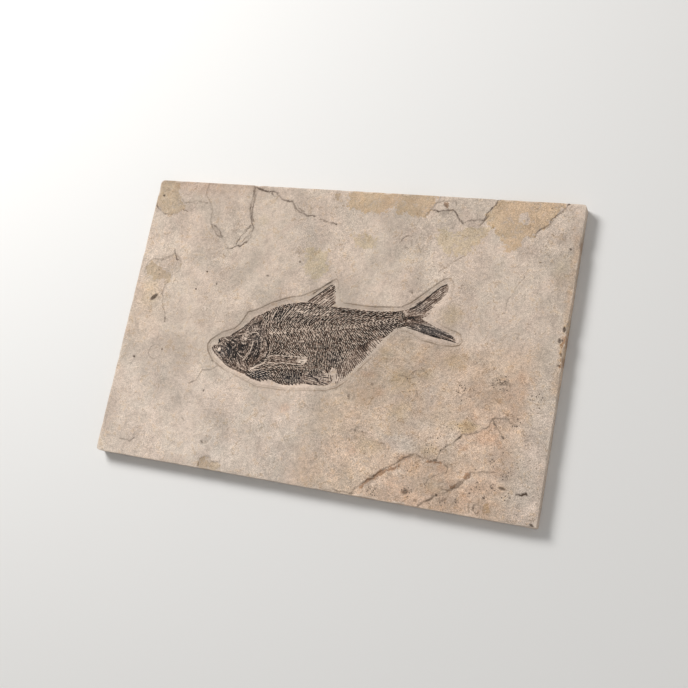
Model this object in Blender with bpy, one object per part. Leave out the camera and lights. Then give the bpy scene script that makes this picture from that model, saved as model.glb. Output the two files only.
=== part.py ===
# Fossil fish slab: a thin slab of limestone with one bony fish lying in a shallow prepared
# trough.  +X runs along the slab to the fish's tail, +Y to its back, +Z out of the face that
# shows the fish.  The slab lies on its flat underside, centred on the origin.
# Plan sizes and heights are written in millimetres and become metres when a mesh is made.

import bpy
import bmesh
from math import atan2, cos, hypot, pi, sin
from mathutils import Vector

MM = 0.001

# Slab
SLAB_LENGTH = 270.0
SLAB_WIDTH = 176.0
SLAB_THICKNESS = 8.0
CORNER_RADII = (2.5, 1.0, 4.0, 3.0)     # lower left, lower right, upper right, upper left
CORNER_STEPS = 5
ARRIS_WIDTH = 0.7                       # worn edge between the faces and the sides
TROUGH_DEPTH = 1.2

# Crust of bone
PIECE_GAP = 0.3                         # clearance between neighbouring pieces
CRUST_EDGE = 0.25                       # thickness where the crust thins out
RIB_RELIEF = 0.25
VERTEBRA_RELIEF = 0.5
VERTEBRA_HALF_HEIGHT = 1.1
RAY_RELIEF = 0.22
SCUTE_LENGTH = 0.8                      # how far the belly scutes stick out
SKULL_DOME = 0.25
SKULL_RIDGE = 0.4
SKULL_RIDGE_WIDTH = 1.6

VERTEBRAE = 40
BONE_UNDERSIDE = SLAB_THICKNESS - TROUGH_DEPTH + PIECE_GAP
CRUST_TOP = BONE_UNDERSIDE + CRUST_EDGE
PECTORAL_UNDERSIDE = CRUST_TOP + RIB_RELIEF + PIECE_GAP

# Outer line of the prepared trough, from the snout along the back, round the tail and home
# along the belly
TROUGH_OUTLINE = (
    (-75.5, -14.5), (-74, -11.5), (-71, -9), (-67.5, -6), (-60, -3), (-57, 0.5), (-55, 4.5),
    (-53.5, 8), (-47, 10.5), (-39, 15.3), (-30, 19), (-20, 21.8), (-10, 27), (-5, 31),
    (-1.5, 33.8), (0.5, 31.5), (1.5, 27), (3.5, 21), (7, 19.5), (25, 19), (41, 20.5),
    (46, 23.5), (54, 31), (63, 39), (67, 40), (69.5, 36), (69, 31), (64.5, 24.5), (61, 19.5),
    (63, 15.5), (70, 12.5), (77, 9.8), (79.8, 6), (79.5, 3), (76, 0.8), (66, 0.8), (57, 2.4),
    (49, 4.8), (43, 5), (38, 1.5), (32, -7), (28, -12.5), (22, -20), (17, -26), (12, -30.5),
    (5, -33), (-5, -34), (-20, -36), (-38, -36), (-47, -33), (-60, -29), (-70, -24), (-74.5, -18.5),
)

# Where thin layers have split away: depth below the face, then the outline.  Outlines that
# reach past the slab's edge break out there.
LEDGES = (
    (0.35, ((-137, 66), (-131, 68), (-124, 65.5), (-118, 66), (-114, 69), (-118, 74),
            (-115, 80), (-119, 90), (-137, 90))),
    (0.3, ((-130, 33), (-124, 35), (-120, 40), (-113, 45), (-108, 38), (-110, 28),
           (-117, 20), (-122, 22), (-128, 24))),
    (0.25, ((-93, 90), (-93, 78), (-93, 64), (-90, 61), (-88, 56), (-84, 53.5), (-79, 46),
            (-70, 48), (-66, 50), (-62, 57), (-63, 62), (-66, 68), (-68, 74), (-67, 90))),
    (0.3, ((53, 90), (50, 85), (48, 79.5), (53, 79), (60, 80), (63, 78), (66, 74), (68, 71.5),
           (72, 74.5), (80, 76.5), (84, 84), (86, 90))),
    (0.2, ((92, 90), (88, 80), (84, 72), (92, 66), (103, 66), (110, 70), (115, 74), (120, 81),
           (124.5, 90))),
    (0.3, ((-64.5, -90), (-63.5, -84), (-62, -81.5), (-58, -80.5), (-54, -82.5), (-49.5, -82),
           (-48, -90))),
    (0.3, ((34, -90), (42, -81), (50, -73), (56, -66), (62, -61.5), (69, -62), (80, -69),
           (74, -73), (70, -77), (66, -83), (61, -90))),
    (0.2, ((68, -90), (76, -83), (86, -77), (92, -73), (98, -63), (106, -62), (110, -70),
           (104, -80), (98, -90))),
)

# Chips out of the upper edge: centre in plan, then length along X, along Y and depth
CHIPS = (
    (131.8, -87.6, 4.5, 2.6, 1.2), (134.6, 66, 1.6, 5, 0.9), (134.7, 17.5, 1.8, 6, 1.1),
    (134.8, 4, 1.4, 9, 0.8), (134.7, -8, 1.2, 4, 0.7), (42, -87.7, 13, 1.5, 0.8),
    (62, -87.7, 5, 1.3, 0.8), (-58, -87.8, 6, 1.2, 0.6), (-134.6, 80, 1.4, 6, 0.8),
    (-66, 87.8, 5, 1.2, 0.7), (85, 87.8, 4, 1.2, 0.7),
)

# Lines of the fish.  The gill edge parts the skull from the trunk.
GILL_EDGE_UPPER = ((-38, -4), (-41, 2), (-45, 7.2))
GILL_EDGE_LOWER = ((-38, -4), (-35.5, -10), (-35, -16), (-37, -20), (-41, -23), (-45.5, -26.5),
                   (-47.5, -29.6))
BACKBONE = ((-38, -4), (-30, -1.5), (-10, 2), (10, 5.5), (30, 10.5), (46, 14.2))
BACK = ((-45, 7.2), (-42, 9.5), (-36, 12.5), (-32, 14.5), (-25, 16.2), (-17, 17.8), (0, 16.8),
        (12, 16.6), (27, 16.4), (40, 18), (46, 20.2))
BELLY = ((-47.5, -29.6), (-42, -31.7), (-37, -32.4), (-31, -30.6), (-26, -32), (-22, -32.6),
         (-16, -31.8), (-11.8, -30.8), (-10.6, -25.6), (0, -23.6), (5, -22.8), (9, -20),
         (13, -15), (17, -9.5), (22, -5), (28, -0.5), (34, 1.4), (38, 4.6), (41, 7), (46, 8.2))
# How far along the belly and along the back a bone ends that starts at a given share of the
# backbone: the ribs and spines lean to the tail.
RIB_LEAN = ((0, 0), (0.1, 0.27), (0.31, 0.45), (0.51, 0.64), (0.69, 0.81), (1, 1))
SPINE_LEAN = ((0, 0), (0.06, 0.19), (0.3, 0.40), (0.6, 0.66), (1, 1))
# Shares of a rib, from its lower end to the backbone, and of a spine above it
RIB_ROWS = (0, 0.07, 0.3, 0.6, 0.86)
SPINE_ROWS = (0.22, 0.5, 0.78, 0.93, 1)
GILL_BEND_REACH = 0.25                  # share of the trunk in which the gill edge's bend fades

SNOUT_AND_THROAT = (
    (-47.5, 6.2), (-49.5, 4.5), (-52, 1), (-54.5, -2), (-59, -5.5), (-61.5, -7.5), (-65, -9),
    (-68.3, -9.9), (-69, -12.4), (-66.6, -13.6), (-71.2, -14.6), (-72.7, -16), (-70, -19),
    (-66, -22), (-62, -24.8), (-57.5, -27.2), (-52, -28.7),
)
ORBIT_CENTRE = (-51.5, -13.2)
ORBIT_RADII = (1.6, 2.6, 3.5, 4.6)      # rings of points: pupil, inner slope, crest, outer slope
ORBIT_HEIGHTS = (0.05, 0.12, 0.5, 0.3)
SKULL_RINGS = (0.22, 0.42, 0.6, 0.78, 0.92, 1)
SKULL_SPOKE_STEP = 2.2
SKULL_RIDGES = (
    ((-63, -8.5), (-57, -6), (-50, -5.2), (-45, -4), (-42, -5.5)),
    ((-45, -7), (-45.8, -14), (-46.5, -20), (-52, -23.5)),
    ((-40.5, -6), (-38.6, -12), (-39, -17), (-42, -21.5)),
    ((-72, -16.5), (-66, -20), (-59, -24), (-50, -26.8)),
    ((-68, -11), (-62, -13.5), (-57, -17), (-55, -20)),
    ((-51, 2), (-47, 3), (-43, 2)),
)

DORSAL_BASE = (0.31, 0.475)             # stretch of the back that carries the fin
DORSAL_TIPS = ((-3.2, 30.6), (-1.2, 29.2), (0.2, 27), (0.8, 24.6), (1.2, 21.6), (1.9, 19))
DORSAL_RAYS = 11
ANAL_BASE = (0.585, 0.835)              # stretch of the belly that carries the fin
ANAL_TIPS = ((11, -28.2), (14.2, -26.6), (17.6, -22), (19.2, -18.5), (25, -13), (30, -5.2),
             (33.2, -0.9), (34.6, 0.4))
ANAL_RAYS = 18
TAIL_TIPS = ((65.5, 36.5), (66.4, 31), (63.5, 27.5), (58.5, 21.8), (54.5, 18), (52, 16.2),
             (55, 14.2), (62, 11.6), (70, 9.2), (74.4, 6.6), (77, 3.6))
TAIL_RAYS = 28
PECTORAL_BASE = ((-34.2, -18), (-33.2, -20.9))
PECTORAL_TIPS = ((-9, -15.3), (-8.8, -16.8), (-10, -18.6), (-11.4, -19.9))
PECTORAL_RAYS = 6
PELVIC_BASE = ((-10, -26.2), (-11, -30.4))
PELVIC_TIPS = ((4.6, -23.7), (5.4, -26.4), (4.4, -28.8), (1, -30.2))
PELVIC_RAYS = 6
RAY_ROWS = (0, 0.25, 0.55, 0.82, 1)
FIN_GAP = 0.42                          # plan clearance between a fin's base and the trunk


def clear_scene():
    for thing in list(bpy.data.objects):
        bpy.data.objects.remove(thing, do_unlink=True)


def principled(name, colour, roughness):
    material = bpy.data.materials.new(name)
    material.use_nodes = True
    shader = material.node_tree.nodes["Principled BSDF"]
    shader.inputs["Base Color"].default_value = (*colour, 1)
    shader.inputs["Roughness"].default_value = roughness
    shader.inputs["Metallic"].default_value = 0
    return material


def add_object(name, bm, material=None):
    mesh = bpy.data.meshes.new(name)
    bmesh.ops.recalc_face_normals(bm, faces=bm.faces)
    bm.to_mesh(mesh)
    bm.free()
    piece = bpy.data.objects.new(name, mesh)
    bpy.context.collection.objects.link(piece)
    if material:
        mesh.materials.append(material)
    return piece


def mix(a, b, share):
    return (a[0] + (b[0] - a[0]) * share, a[1] + (b[1] - a[1]) * share)


def table(rows, t):
    """Read a value off a list of (t, value) rows."""
    for (t0, v0), (t1, v1) in zip(rows, rows[1:]):
        if t <= t1:
            return v0 + (v1 - v0) * (t - t0) / (t1 - t0)
    return rows[-1][1]


def point_along(path, share):
    """The point a given share of the length along a path of straight stretches."""
    lengths = [hypot(b[0] - a[0], b[1] - a[1]) for a, b in zip(path, path[1:])]
    left = share * sum(lengths)
    for a, b, length in zip(path, path[1:], lengths):
        if left <= length:
            return mix(a, b, left / length)
        left -= length
    return path[-1]


def points_along(path, count, first=0.0, last=1.0):
    return [point_along(path, first + (last - first) * k / (count - 1)) for k in range(count)]


def shifted(points, distance):
    """The points moved sideways, to the left of the way they run."""
    moved = []
    for k, point in enumerate(points):
        before = points[max(k - 1, 0)]
        after = points[min(k + 1, len(points) - 1)]
        along = Vector((after[0] - before[0], after[1] - before[1])).normalized()
        moved.append((point[0] - along.y * distance, point[1] + along.x * distance))
    return moved


def distance_to(path, x, y):
    nearest = 1e9
    for a, b in zip(path, path[1:]):
        run = Vector((b[0] - a[0], b[1] - a[1]))
        share = max(0, min(1, Vector((x - a[0], y - a[1])).dot(run) / run.length_squared))
        nearest = min(nearest, hypot(x - a[0] - run.x * share, y - a[1] - run.y * share))
    return nearest


def add_prism(bm, outline, bottom, top):
    low = [bm.verts.new(Vector((x, y, bottom)) * MM) for x, y in outline]
    floor = bm.faces.new(low)
    lifted = bmesh.ops.extrude_face_region(bm, geom=[floor])["geom"]
    for vert in lifted:
        if isinstance(vert, bmesh.types.BMVert):
            vert.co.z = top * MM


def close_below(bm, rim, underside):
    """Close a sheet with upright sides from its rim and a flat underside."""
    low = [bm.verts.new((vert.co.x, vert.co.y, underside * MM)) for vert in rim]
    for k, vert in enumerate(rim):
        bm.faces.new((rim[k - 1], vert, low[k], low[k - 1]))
    bm.faces.new(low)


def add_sheet(name, columns, underside, material):
    """A closed sheet: columns of (x, y, z) side by side, over a flat underside."""
    bm = bmesh.new()
    grid = [[bm.verts.new(Vector(point) * MM) for point in column] for column in columns]
    for left, right in zip(grid, grid[1:]):
        for row in range(len(left) - 1):
            bm.faces.new((left[row], right[row], right[row + 1], left[row + 1]))
    first = [column[0] for column in grid]
    last = [column[-1] for column in grid]
    rim = first + grid[-1][1:-1] + last[::-1] + grid[0][-2:0:-1]
    close_below(bm, rim, underside)
    return add_object(name, bm, material)


# Slab

def slab_outline():
    half_length = SLAB_LENGTH / 2
    half_width = SLAB_WIDTH / 2
    signs = ((-1, -1), (1, -1), (1, 1), (-1, 1))
    outline = []
    for turn, ((sx, sy), radius) in enumerate(zip(signs, CORNER_RADII)):
        start = pi + turn * pi / 2
        for step in range(CORNER_STEPS + 1):
            angle = start + pi / 2 * step / CORNER_STEPS
            outline.append((sx * (half_length - radius) + radius * cos(angle),
                            sy * (half_width - radius) + radius * sin(angle)))
    return outline


def add_cutter(name, bm, target):
    cutter = add_object(name, bm)
    cutter.hide_render = True
    cutter.display_type = "WIRE"
    cut = target.modifiers.new(name, "BOOLEAN")
    cut.operation = "DIFFERENCE"
    cut.solver = "EXACT"
    cut.object = cutter


def add_slab(material):
    bm = bmesh.new()
    add_prism(bm, slab_outline(), 0, SLAB_THICKNESS)
    level = [edge for edge in bm.edges if abs(edge.verts[0].co.z - edge.verts[1].co.z) < MM / 10]
    bmesh.ops.bevel(bm, geom=level, offset=ARRIS_WIDTH * MM, segments=2, profile=0.5,
                    affect="EDGES")
    slab = add_object("slab", bm, material)

    above = SLAB_THICKNESS + 1
    trough = bmesh.new()
    add_prism(trough, TROUGH_OUTLINE, SLAB_THICKNESS - TROUGH_DEPTH, above)
    add_cutter("trough_cutter", trough, slab)

    ledges = bmesh.new()
    for depth, outline in LEDGES:
        add_prism(ledges, outline, SLAB_THICKNESS - depth, above)
    add_cutter("ledge_cutter", ledges, slab)

    chips = bmesh.new()
    for x, y, length, width, depth in CHIPS:
        lump = bmesh.ops.create_icosphere(chips, subdivisions=1, radius=1)["verts"]
        bmesh.ops.scale(chips, vec=Vector((length / 2, width / 2, depth)) * MM, verts=lump)
        bmesh.ops.translate(chips, vec=Vector((x, y, SLAB_THICKNESS + 0.05)) * MM, verts=lump)
    add_cutter("chip_cutter", chips, slab)


# Fish

def trunk_column(t):
    """Plan points of one rib and the spine above it, from the belly to the back."""
    joint = point_along(BACKBONE, t)
    rib_end = point_along(BELLY, table(RIB_LEAN, t))
    spine_end = point_along(BACK, table(SPINE_LEAN, t))
    bend = max(0, 1 - t / GILL_BEND_REACH) ** 2

    def bent(start, end, gill_path, gill_end, share):
        straight = mix(start, end, share)
        edge = point_along(gill_path, share)
        chord = mix(gill_path[0], gill_end, share)
        return (straight[0] + bend * (edge[0] - chord[0]), straight[1] + bend * (edge[1] - chord[1]))

    def rib(share):
        return bent(joint, rib_end, GILL_EDGE_LOWER, GILL_EDGE_LOWER[-1], share)

    def spine(share):
        return bent(joint, spine_end, GILL_EDGE_UPPER, GILL_EDGE_UPPER[-1], share)

    rib_length = hypot(rib_end[0] - joint[0], rib_end[1] - joint[1])
    spine_length = hypot(spine_end[0] - joint[0], spine_end[1] - joint[1])
    below = [rib(1 - row * (1 - VERTEBRA_HALF_HEIGHT / rib_length)) for row in (*RIB_ROWS, 1)]
    start = VERTEBRA_HALF_HEIGHT / spine_length
    above = [spine(start + row * (1 - start)) for row in (0, *SPINE_ROWS)]
    return below + [joint] + above


def add_trunk(material):
    count = 2 * VERTEBRAE + 1
    backbone_row = len(RIB_ROWS) + 1
    columns = []
    for k in range(count):
        raised = k % 2
        plan = trunk_column(k / (count - 1))
        last = len(plan) - 1
        column = []
        for row, (x, y) in enumerate(plan):
            height = CRUST_TOP
            if row == backbone_row:
                height += VERTEBRA_RELIEF * (1 if raised else 0.6)
            elif 0 < row < last:
                height += RIB_RELIEF * raised
            if row == 0 and raised and x < PELVIC_BASE[0][0] - 2:
                y -= SCUTE_LENGTH
            column.append((x, y, height))
        columns.append(column)
    add_sheet("trunk", columns, BONE_UNDERSIDE, material)


def skull_outline():
    gill_edge = [(x - FIN_GAP, y) for x, y in trunk_column(0)]
    corners = list(SNOUT_AND_THROAT) + gill_edge
    outline = []
    for a, b in zip(corners, corners[1:] + corners[:1]):
        steps = max(1, round(hypot(b[0] - a[0], b[1] - a[1]) / SKULL_SPOKE_STEP))
        outline += [mix(a, b, step / steps) for step in range(steps)]
    return outline


def skull_height(x, y, share):
    near = min(distance_to(path, x, y) for path in SKULL_RIDGES)
    ridge = SKULL_RIDGE * max(0, 1 - near / SKULL_RIDGE_WIDTH)
    return CRUST_TOP + (SKULL_DOME + ridge) * (1 - share ** 6)


def add_skull(material):
    """The skull as rings of points about the eye socket."""
    bm = bmesh.new()
    centre = ORBIT_CENTRE
    pupil = bm.verts.new(Vector((*centre, CRUST_TOP)) * MM)
    spokes = []
    for end in skull_outline():
        angle = atan2(end[1] - centre[1], end[0] - centre[0])
        spoke = [pupil]
        for radius, height in zip(ORBIT_RADII, ORBIT_HEIGHTS):
            x = centre[0] + radius * cos(angle)
            y = centre[1] + radius * sin(angle)
            spoke.append(bm.verts.new(Vector((x, y, CRUST_TOP + height)) * MM))
        rim = (x, y)
        for share in SKULL_RINGS:
            x, y = mix(rim, end, share)
            spoke.append(bm.verts.new(Vector((x, y, skull_height(x, y, share))) * MM))
        spokes.append(spoke)
    for k, spoke in enumerate(spokes):
        before = spokes[k - 1]
        bm.faces.new((pupil, before[1], spoke[1]))
        for ring in range(1, len(spoke) - 1):
            bm.faces.new((before[ring], before[ring + 1], spoke[ring + 1], spoke[ring]))
    close_below(bm, [spoke[-1] for spoke in spokes], BONE_UNDERSIDE)
    add_object("skull", bm, material)


def add_fin(name, base, tips, rays, underside, material):
    """A fan of rays from a base line to a line of tips."""
    count = 2 * rays + 1
    starts = points_along(base, count)
    ends = points_along(tips, count)
    columns = []
    for k, (start, end) in enumerate(zip(starts, ends)):
        raised = k % 2
        reach = 1 if raised or k in (0, count - 1) else 0.965
        column = []
        for row in RAY_ROWS:
            x, y = mix(start, end, row * reach)
            relief = RAY_RELIEF * raised * (1 - 0.5 * row)
            column.append((x, y, underside + CRUST_EDGE + relief))
        columns.append(column)
    add_sheet(name, columns, underside, material)


def add_fins(material):
    dorsal_base = shifted(points_along(BACK, 12, *DORSAL_BASE), FIN_GAP)
    add_fin("dorsal_fin", dorsal_base, DORSAL_TIPS, DORSAL_RAYS, BONE_UNDERSIDE, material)
    anal_base = shifted(points_along(BELLY, 24, *ANAL_BASE), -FIN_GAP)
    add_fin("anal_fin", anal_base, ANAL_TIPS, ANAL_RAYS, BONE_UNDERSIDE, material)
    tail_base = [(x + FIN_GAP, y) for x, y in (BACK[-1], BELLY[-1])]
    add_fin("tail_fin", tail_base, TAIL_TIPS, TAIL_RAYS, BONE_UNDERSIDE, material)
    add_fin("pelvic_fin", PELVIC_BASE, PELVIC_TIPS, PELVIC_RAYS, BONE_UNDERSIDE, material)
    add_fin("pectoral_fin", PECTORAL_BASE, PECTORAL_TIPS, PECTORAL_RAYS, PECTORAL_UNDERSIDE,
            material)


clear_scene()
limestone = principled("limestone", (0.62, 0.52, 0.43), 0.85)
bone = principled("fossil_bone", (0.09, 0.075, 0.065), 0.6)
fin_bone = principled("fin_bone", (0.14, 0.12, 0.105), 0.65)
add_slab(limestone)
add_skull(bone)
add_trunk(bone)
add_fins(fin_bone)
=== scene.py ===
import bpy
import numpy as np
from math import atan2, cos, hypot, pi, radians, sin
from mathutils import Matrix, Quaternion, Vector


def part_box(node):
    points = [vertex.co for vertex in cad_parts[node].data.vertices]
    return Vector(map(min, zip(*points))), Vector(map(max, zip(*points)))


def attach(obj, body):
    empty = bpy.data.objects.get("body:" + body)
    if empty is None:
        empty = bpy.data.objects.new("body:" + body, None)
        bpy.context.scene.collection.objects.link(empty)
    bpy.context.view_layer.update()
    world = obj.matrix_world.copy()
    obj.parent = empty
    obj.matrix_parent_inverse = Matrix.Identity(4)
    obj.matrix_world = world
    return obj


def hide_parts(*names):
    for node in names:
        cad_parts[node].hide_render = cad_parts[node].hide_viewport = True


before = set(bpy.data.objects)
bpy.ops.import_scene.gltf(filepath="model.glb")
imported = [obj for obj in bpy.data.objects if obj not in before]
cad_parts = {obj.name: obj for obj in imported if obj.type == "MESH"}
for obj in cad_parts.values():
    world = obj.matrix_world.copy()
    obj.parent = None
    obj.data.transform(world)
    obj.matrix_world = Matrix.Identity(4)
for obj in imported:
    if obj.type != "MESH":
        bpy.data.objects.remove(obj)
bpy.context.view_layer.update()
mm = 0.001
print("frame loaded:", sorted(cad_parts))


# Everything below is worked out in millimetres and becomes metres when a mesh is written.
# +X runs to the fish's tail, +Y to its back, +Z out of the stone.

def setMode(mode):
    bpy.ops.object.mode_set(mode=mode)


def deselectAll():
    if bpy.context.object and bpy.context.object.mode == "EDIT":
        setMode("OBJECT")
    bpy.ops.object.select_all(action="DESELECT")


def chooseOnly(piece):
    deselectAll()
    bpy.context.view_layer.objects.active = piece
    piece.select_set(True)


def selectParts(piece, parts, chosen):
    # selects some of a mesh's "vertices", "edges" or "polygons" and stays in edit mode
    kinds = {"vertices": "VERT", "edges": "EDGE", "polygons": "FACE"}
    chooseOnly(piece)
    setMode("EDIT")
    bpy.ops.mesh.select_mode(type=kinds[parts])
    bpy.ops.mesh.select_all(action="DESELECT")
    setMode("OBJECT")
    getattr(piece.data, parts).foreach_set("select", np.asarray(chosen, bool))
    setMode("EDIT")


def subdivide(piece, parts, chosen, cuts):
    selectParts(piece, parts, chosen)
    bpy.ops.mesh.subdivide(number_cuts=cuts)
    setMode("OBJECT")


def extrudeUp(height):
    # makes a closed block of the flat grid that is being edited
    bpy.ops.mesh.extrude_region_move(TRANSFORM_OT_translate={"value": (0, 0, height)})
    bpy.ops.mesh.select_all(action="SELECT")
    bpy.ops.mesh.normals_make_consistent(inside=False)
    setMode("OBJECT")


def smoothShading(piece, degrees):
    chooseOnly(piece)
    bpy.ops.object.shade_smooth_by_angle(angle=radians(degrees))


def readFaces(piece, value):
    # the "center" or the "normal" of every face
    flat = np.empty(len(piece.data.polygons) * 3)
    piece.data.polygons.foreach_get(value, flat)
    return flat.reshape(-1, 3)


def readVertices(piece):
    flat = np.empty(len(piece.data.vertices) * 3)
    piece.data.vertices.foreach_get("co", flat)
    return flat.reshape(-1, 3) / mm


def writeVertices(piece, points):
    piece.data.vertices.foreach_set("co", (points * mm).ravel())
    piece.data.update()


def setAttribute(piece, name, values):
    if name not in piece.data.attributes:
        piece.data.attributes.new(name, "FLOAT", "POINT")
    piece.data.attributes[name].data.foreach_set("value", np.asarray(values, float))


def smoothStep(low, high, value):
    t = np.clip((value - low) / (high - low), 0, 1)
    return t * t * (3 - 2 * t)


def mixCorners(lattice, ix, iy, jx, jy, fx, fy):
    # between the four lattice points (ix, iy) to (jx, jy), at the fractions fx and fy
    low = lattice[ix, iy] * (1 - fx) + lattice[jx, iy] * fx
    high = lattice[ix, jy] * (1 - fx) + lattice[jx, jy] * fx
    return low * (1 - fy) + high * fy


def noise(x, y, cell, seed):
    # smooth random field between -1 and 1, with lumps about one cell across
    size = 256
    lattice = np.random.default_rng(seed).random((size, size)) * 2 - 1
    gx = x / cell + 100.5 + seed * 0.37  # each seed also starts at a place of its own
    gy = y / cell + 100.5 + seed * 0.71
    ix = np.floor(gx).astype(int)
    iy = np.floor(gy).astype(int)
    fx = gx - ix
    fy = gy - iy
    fx = fx * fx * (3 - 2 * fx)
    fy = fy * fy * (3 - 2 * fy)
    return mixCorners(lattice, ix % size, iy % size, (ix + 1) % size, (iy + 1) % size, fx, fy)


def layeredNoise(x, y, cell, seed, layers=3):
    # each layer is half the size and turned, so that no lattice shows
    total = 0
    strength = 1
    turn = 0.6
    for layer in range(layers):
        c, s = cos(turn * (layer + 1)), sin(turn * (layer + 1))
        total = total + strength * noise(c * x - s * y, s * x + c * y, cell, seed + 11 * layer)
        cell = cell / 2
        strength = strength / 2
    return total / (2 - 2 * strength)


def lineDistance(x, y, path):
    # distance to a line of straight stretches
    nearest = np.full(x.shape, 1e6)
    for (ax, ay), (bx, by) in zip(path, path[1:]):
        dx, dy = bx - ax, by - ay
        run = max(dx * dx + dy * dy, 1e-9)
        share = np.clip(((x - ax) * dx + (y - ay) * dy) / run, 0, 1)
        nearest = np.minimum(nearest, np.hypot(x - ax - share * dx, y - ay - share * dy))
    return nearest


def insideDistance(x, y, outline):
    # distance to a closed outline, above zero inside it
    ring = list(outline) + [outline[0]]
    inside = np.zeros(x.shape, bool)
    for (ax, ay), (bx, by) in zip(ring, ring[1:]):
        if ay != by:
            crosses = (ay > y) != (by > y)
            inside ^= crosses & (x < ax + (y - ay) * (bx - ax) / (by - ay))
    far = lineDistance(x, y, ring)
    return np.where(inside, far, -far)


def inEllipse(x, y, cx, cy, long, short, inner, outer):
    # 1 in an ellipse and 0 outside, fading between two shares of its radii
    return 1 - smoothStep(inner, outer, np.hypot((x - cx) / long, (y - cy) / short))


def atOne(measure, x, y, shape):
    # one of the measures above or below, for a single place
    return float(measure(np.array([x]), np.array([y]), shape)[0])


# Camera

cameraView = {
    "place": (0.2280, -0.1154, 0.5295),
    "aim": (0.0115, -0.0047, 0.0080),
    "roll": -53.735,
    "lens": 52.9,
    "sensor": 36,
    "nearest": 0.01,
}


def addCamera():
    form = cameraView
    place = Vector(form["place"])
    look = Vector(form["aim"]) - place
    turn = look.to_track_quat("-Z", "Y") @ Quaternion((0, 0, 1), radians(form["roll"]))
    bpy.ops.object.camera_add(location=place, rotation=turn.to_euler())
    camera = bpy.context.object
    camera.data.lens = form["lens"]
    camera.data.sensor_width = form["sensor"]
    camera.data.clip_start = form["nearest"]
    bpy.context.scene.camera = camera


addCamera()


# Floor and light

studio = {
    "floorSize": 6,
    "floorColour": (0.78, 0.77, 0.75),
    "floorRoughness": 0.9,
    "worldColour": (1.0, 0.99, 0.98),
    "worldStrength": 0.275,
    # lights: place, size, power
    "keyLight": ((-0.62, 0.525, 0.775), 0.44, 12.15),
    "fillLight": ((0.75, -0.35, 0.7), 1.2, 2.35),
}


def addAreaLight(name):
    place, size, power = studio[name]
    turn = (-Vector(place)).to_track_quat("-Z", "Y").to_euler()
    bpy.ops.object.light_add(type="AREA", location=place, rotation=turn)
    light = bpy.context.object
    light.name = name
    light.data.size = size
    light.data.energy = power


def addStudio():
    bpy.ops.mesh.primitive_plane_add(size=studio["floorSize"])
    floor = bpy.context.object
    floor.name = "floor"
    paint = bpy.data.materials.new("floorPaint")
    paint.use_nodes = True
    shader = paint.node_tree.nodes["Principled BSDF"]
    shader.inputs["Base Color"].default_value = (*studio["floorColour"], 1)
    shader.inputs["Roughness"].default_value = studio["floorRoughness"]
    floor.data.materials.append(paint)
    addAreaLight("keyLight")
    addAreaLight("fillLight")
    world = bpy.data.worlds.new("studioLight")
    world.use_nodes = True
    glow = world.node_tree.nodes["Background"]
    glow.inputs["Color"].default_value = (*studio["worldColour"], 1)
    glow.inputs["Strength"].default_value = studio["worldStrength"]
    bpy.context.scene.world = world
    bpy.context.scene.view_settings.view_transform = "Standard"


addStudio()
print("camera, floor and lights set")


# Stone slab

slabForm = {
    "coarseCell": 5.0,  # underside and first rough block
    "faceCuts": 3,  # cuts per coarse cell on the face and the sides
    "edgeSqueeze": 1.5,  # draws the outer rows of faces towards the edge
    "squeezeReach": 7.5,
    "arris": 0.45,  # least rounding of the edges
    "arrisWear": 0.5,  # how much more the worst stretches have worn
    "lowerWear": 0.3,  # the same for the edge underneath
    "lowerSlope": (0.5, 0.35),  # its slope inwards and upwards, as shares of its rounding
    "cornerRadii": {(-1, -1): 2.2, (1, -1): 1.0, (1, 1): 1.8, (-1, 1): 2.6},
    "fineReach": 2.2,  # half width of the band of finer faces along cracks and ledges
    "finestReach": 1.0,
    "swell": (0.16, 42),  # height and width of the widest lumps of the face
    "lumps": (0.11, 11),
    "knobs": (0.07, 4.6),
    "grain": (0.035, 2.6),
    "sideRoughness": 0.22,
    "hollow": (0.12, 16),  # depth and width of the hollows of the underside
    "smoothBelow": 50,  # edges flatter than this many degrees are shaded smooth
}

# chipped stretches of the edge: place, half length, extra wear
chips = (
    (132.5, -87.5, 3.2, 2.2), (134.9, 66, 3, 1.3), (134.9, 17.5, 3.4, 1.6), (134.9, 4, 5, 0.9),
    (134.9, -8, 2.6, 0.9), (42, -87.9, 7, 0.9), (62, -87.9, 2.6, 1), (-58, -87.9, 3.2, 0.6),
    (-134.9, 80, 3.2, 0.8), (-66, 87.9, 2.6, 0.8), (85, 87.9, 2.2, 0.8), (20, 87.9, 2, 0.5),
    (-134.9, -30, 3, 0.5), (134.9, -52, 2.5, 0.7), (-20, -87.9, 2.4, 0.4),
)

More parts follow.
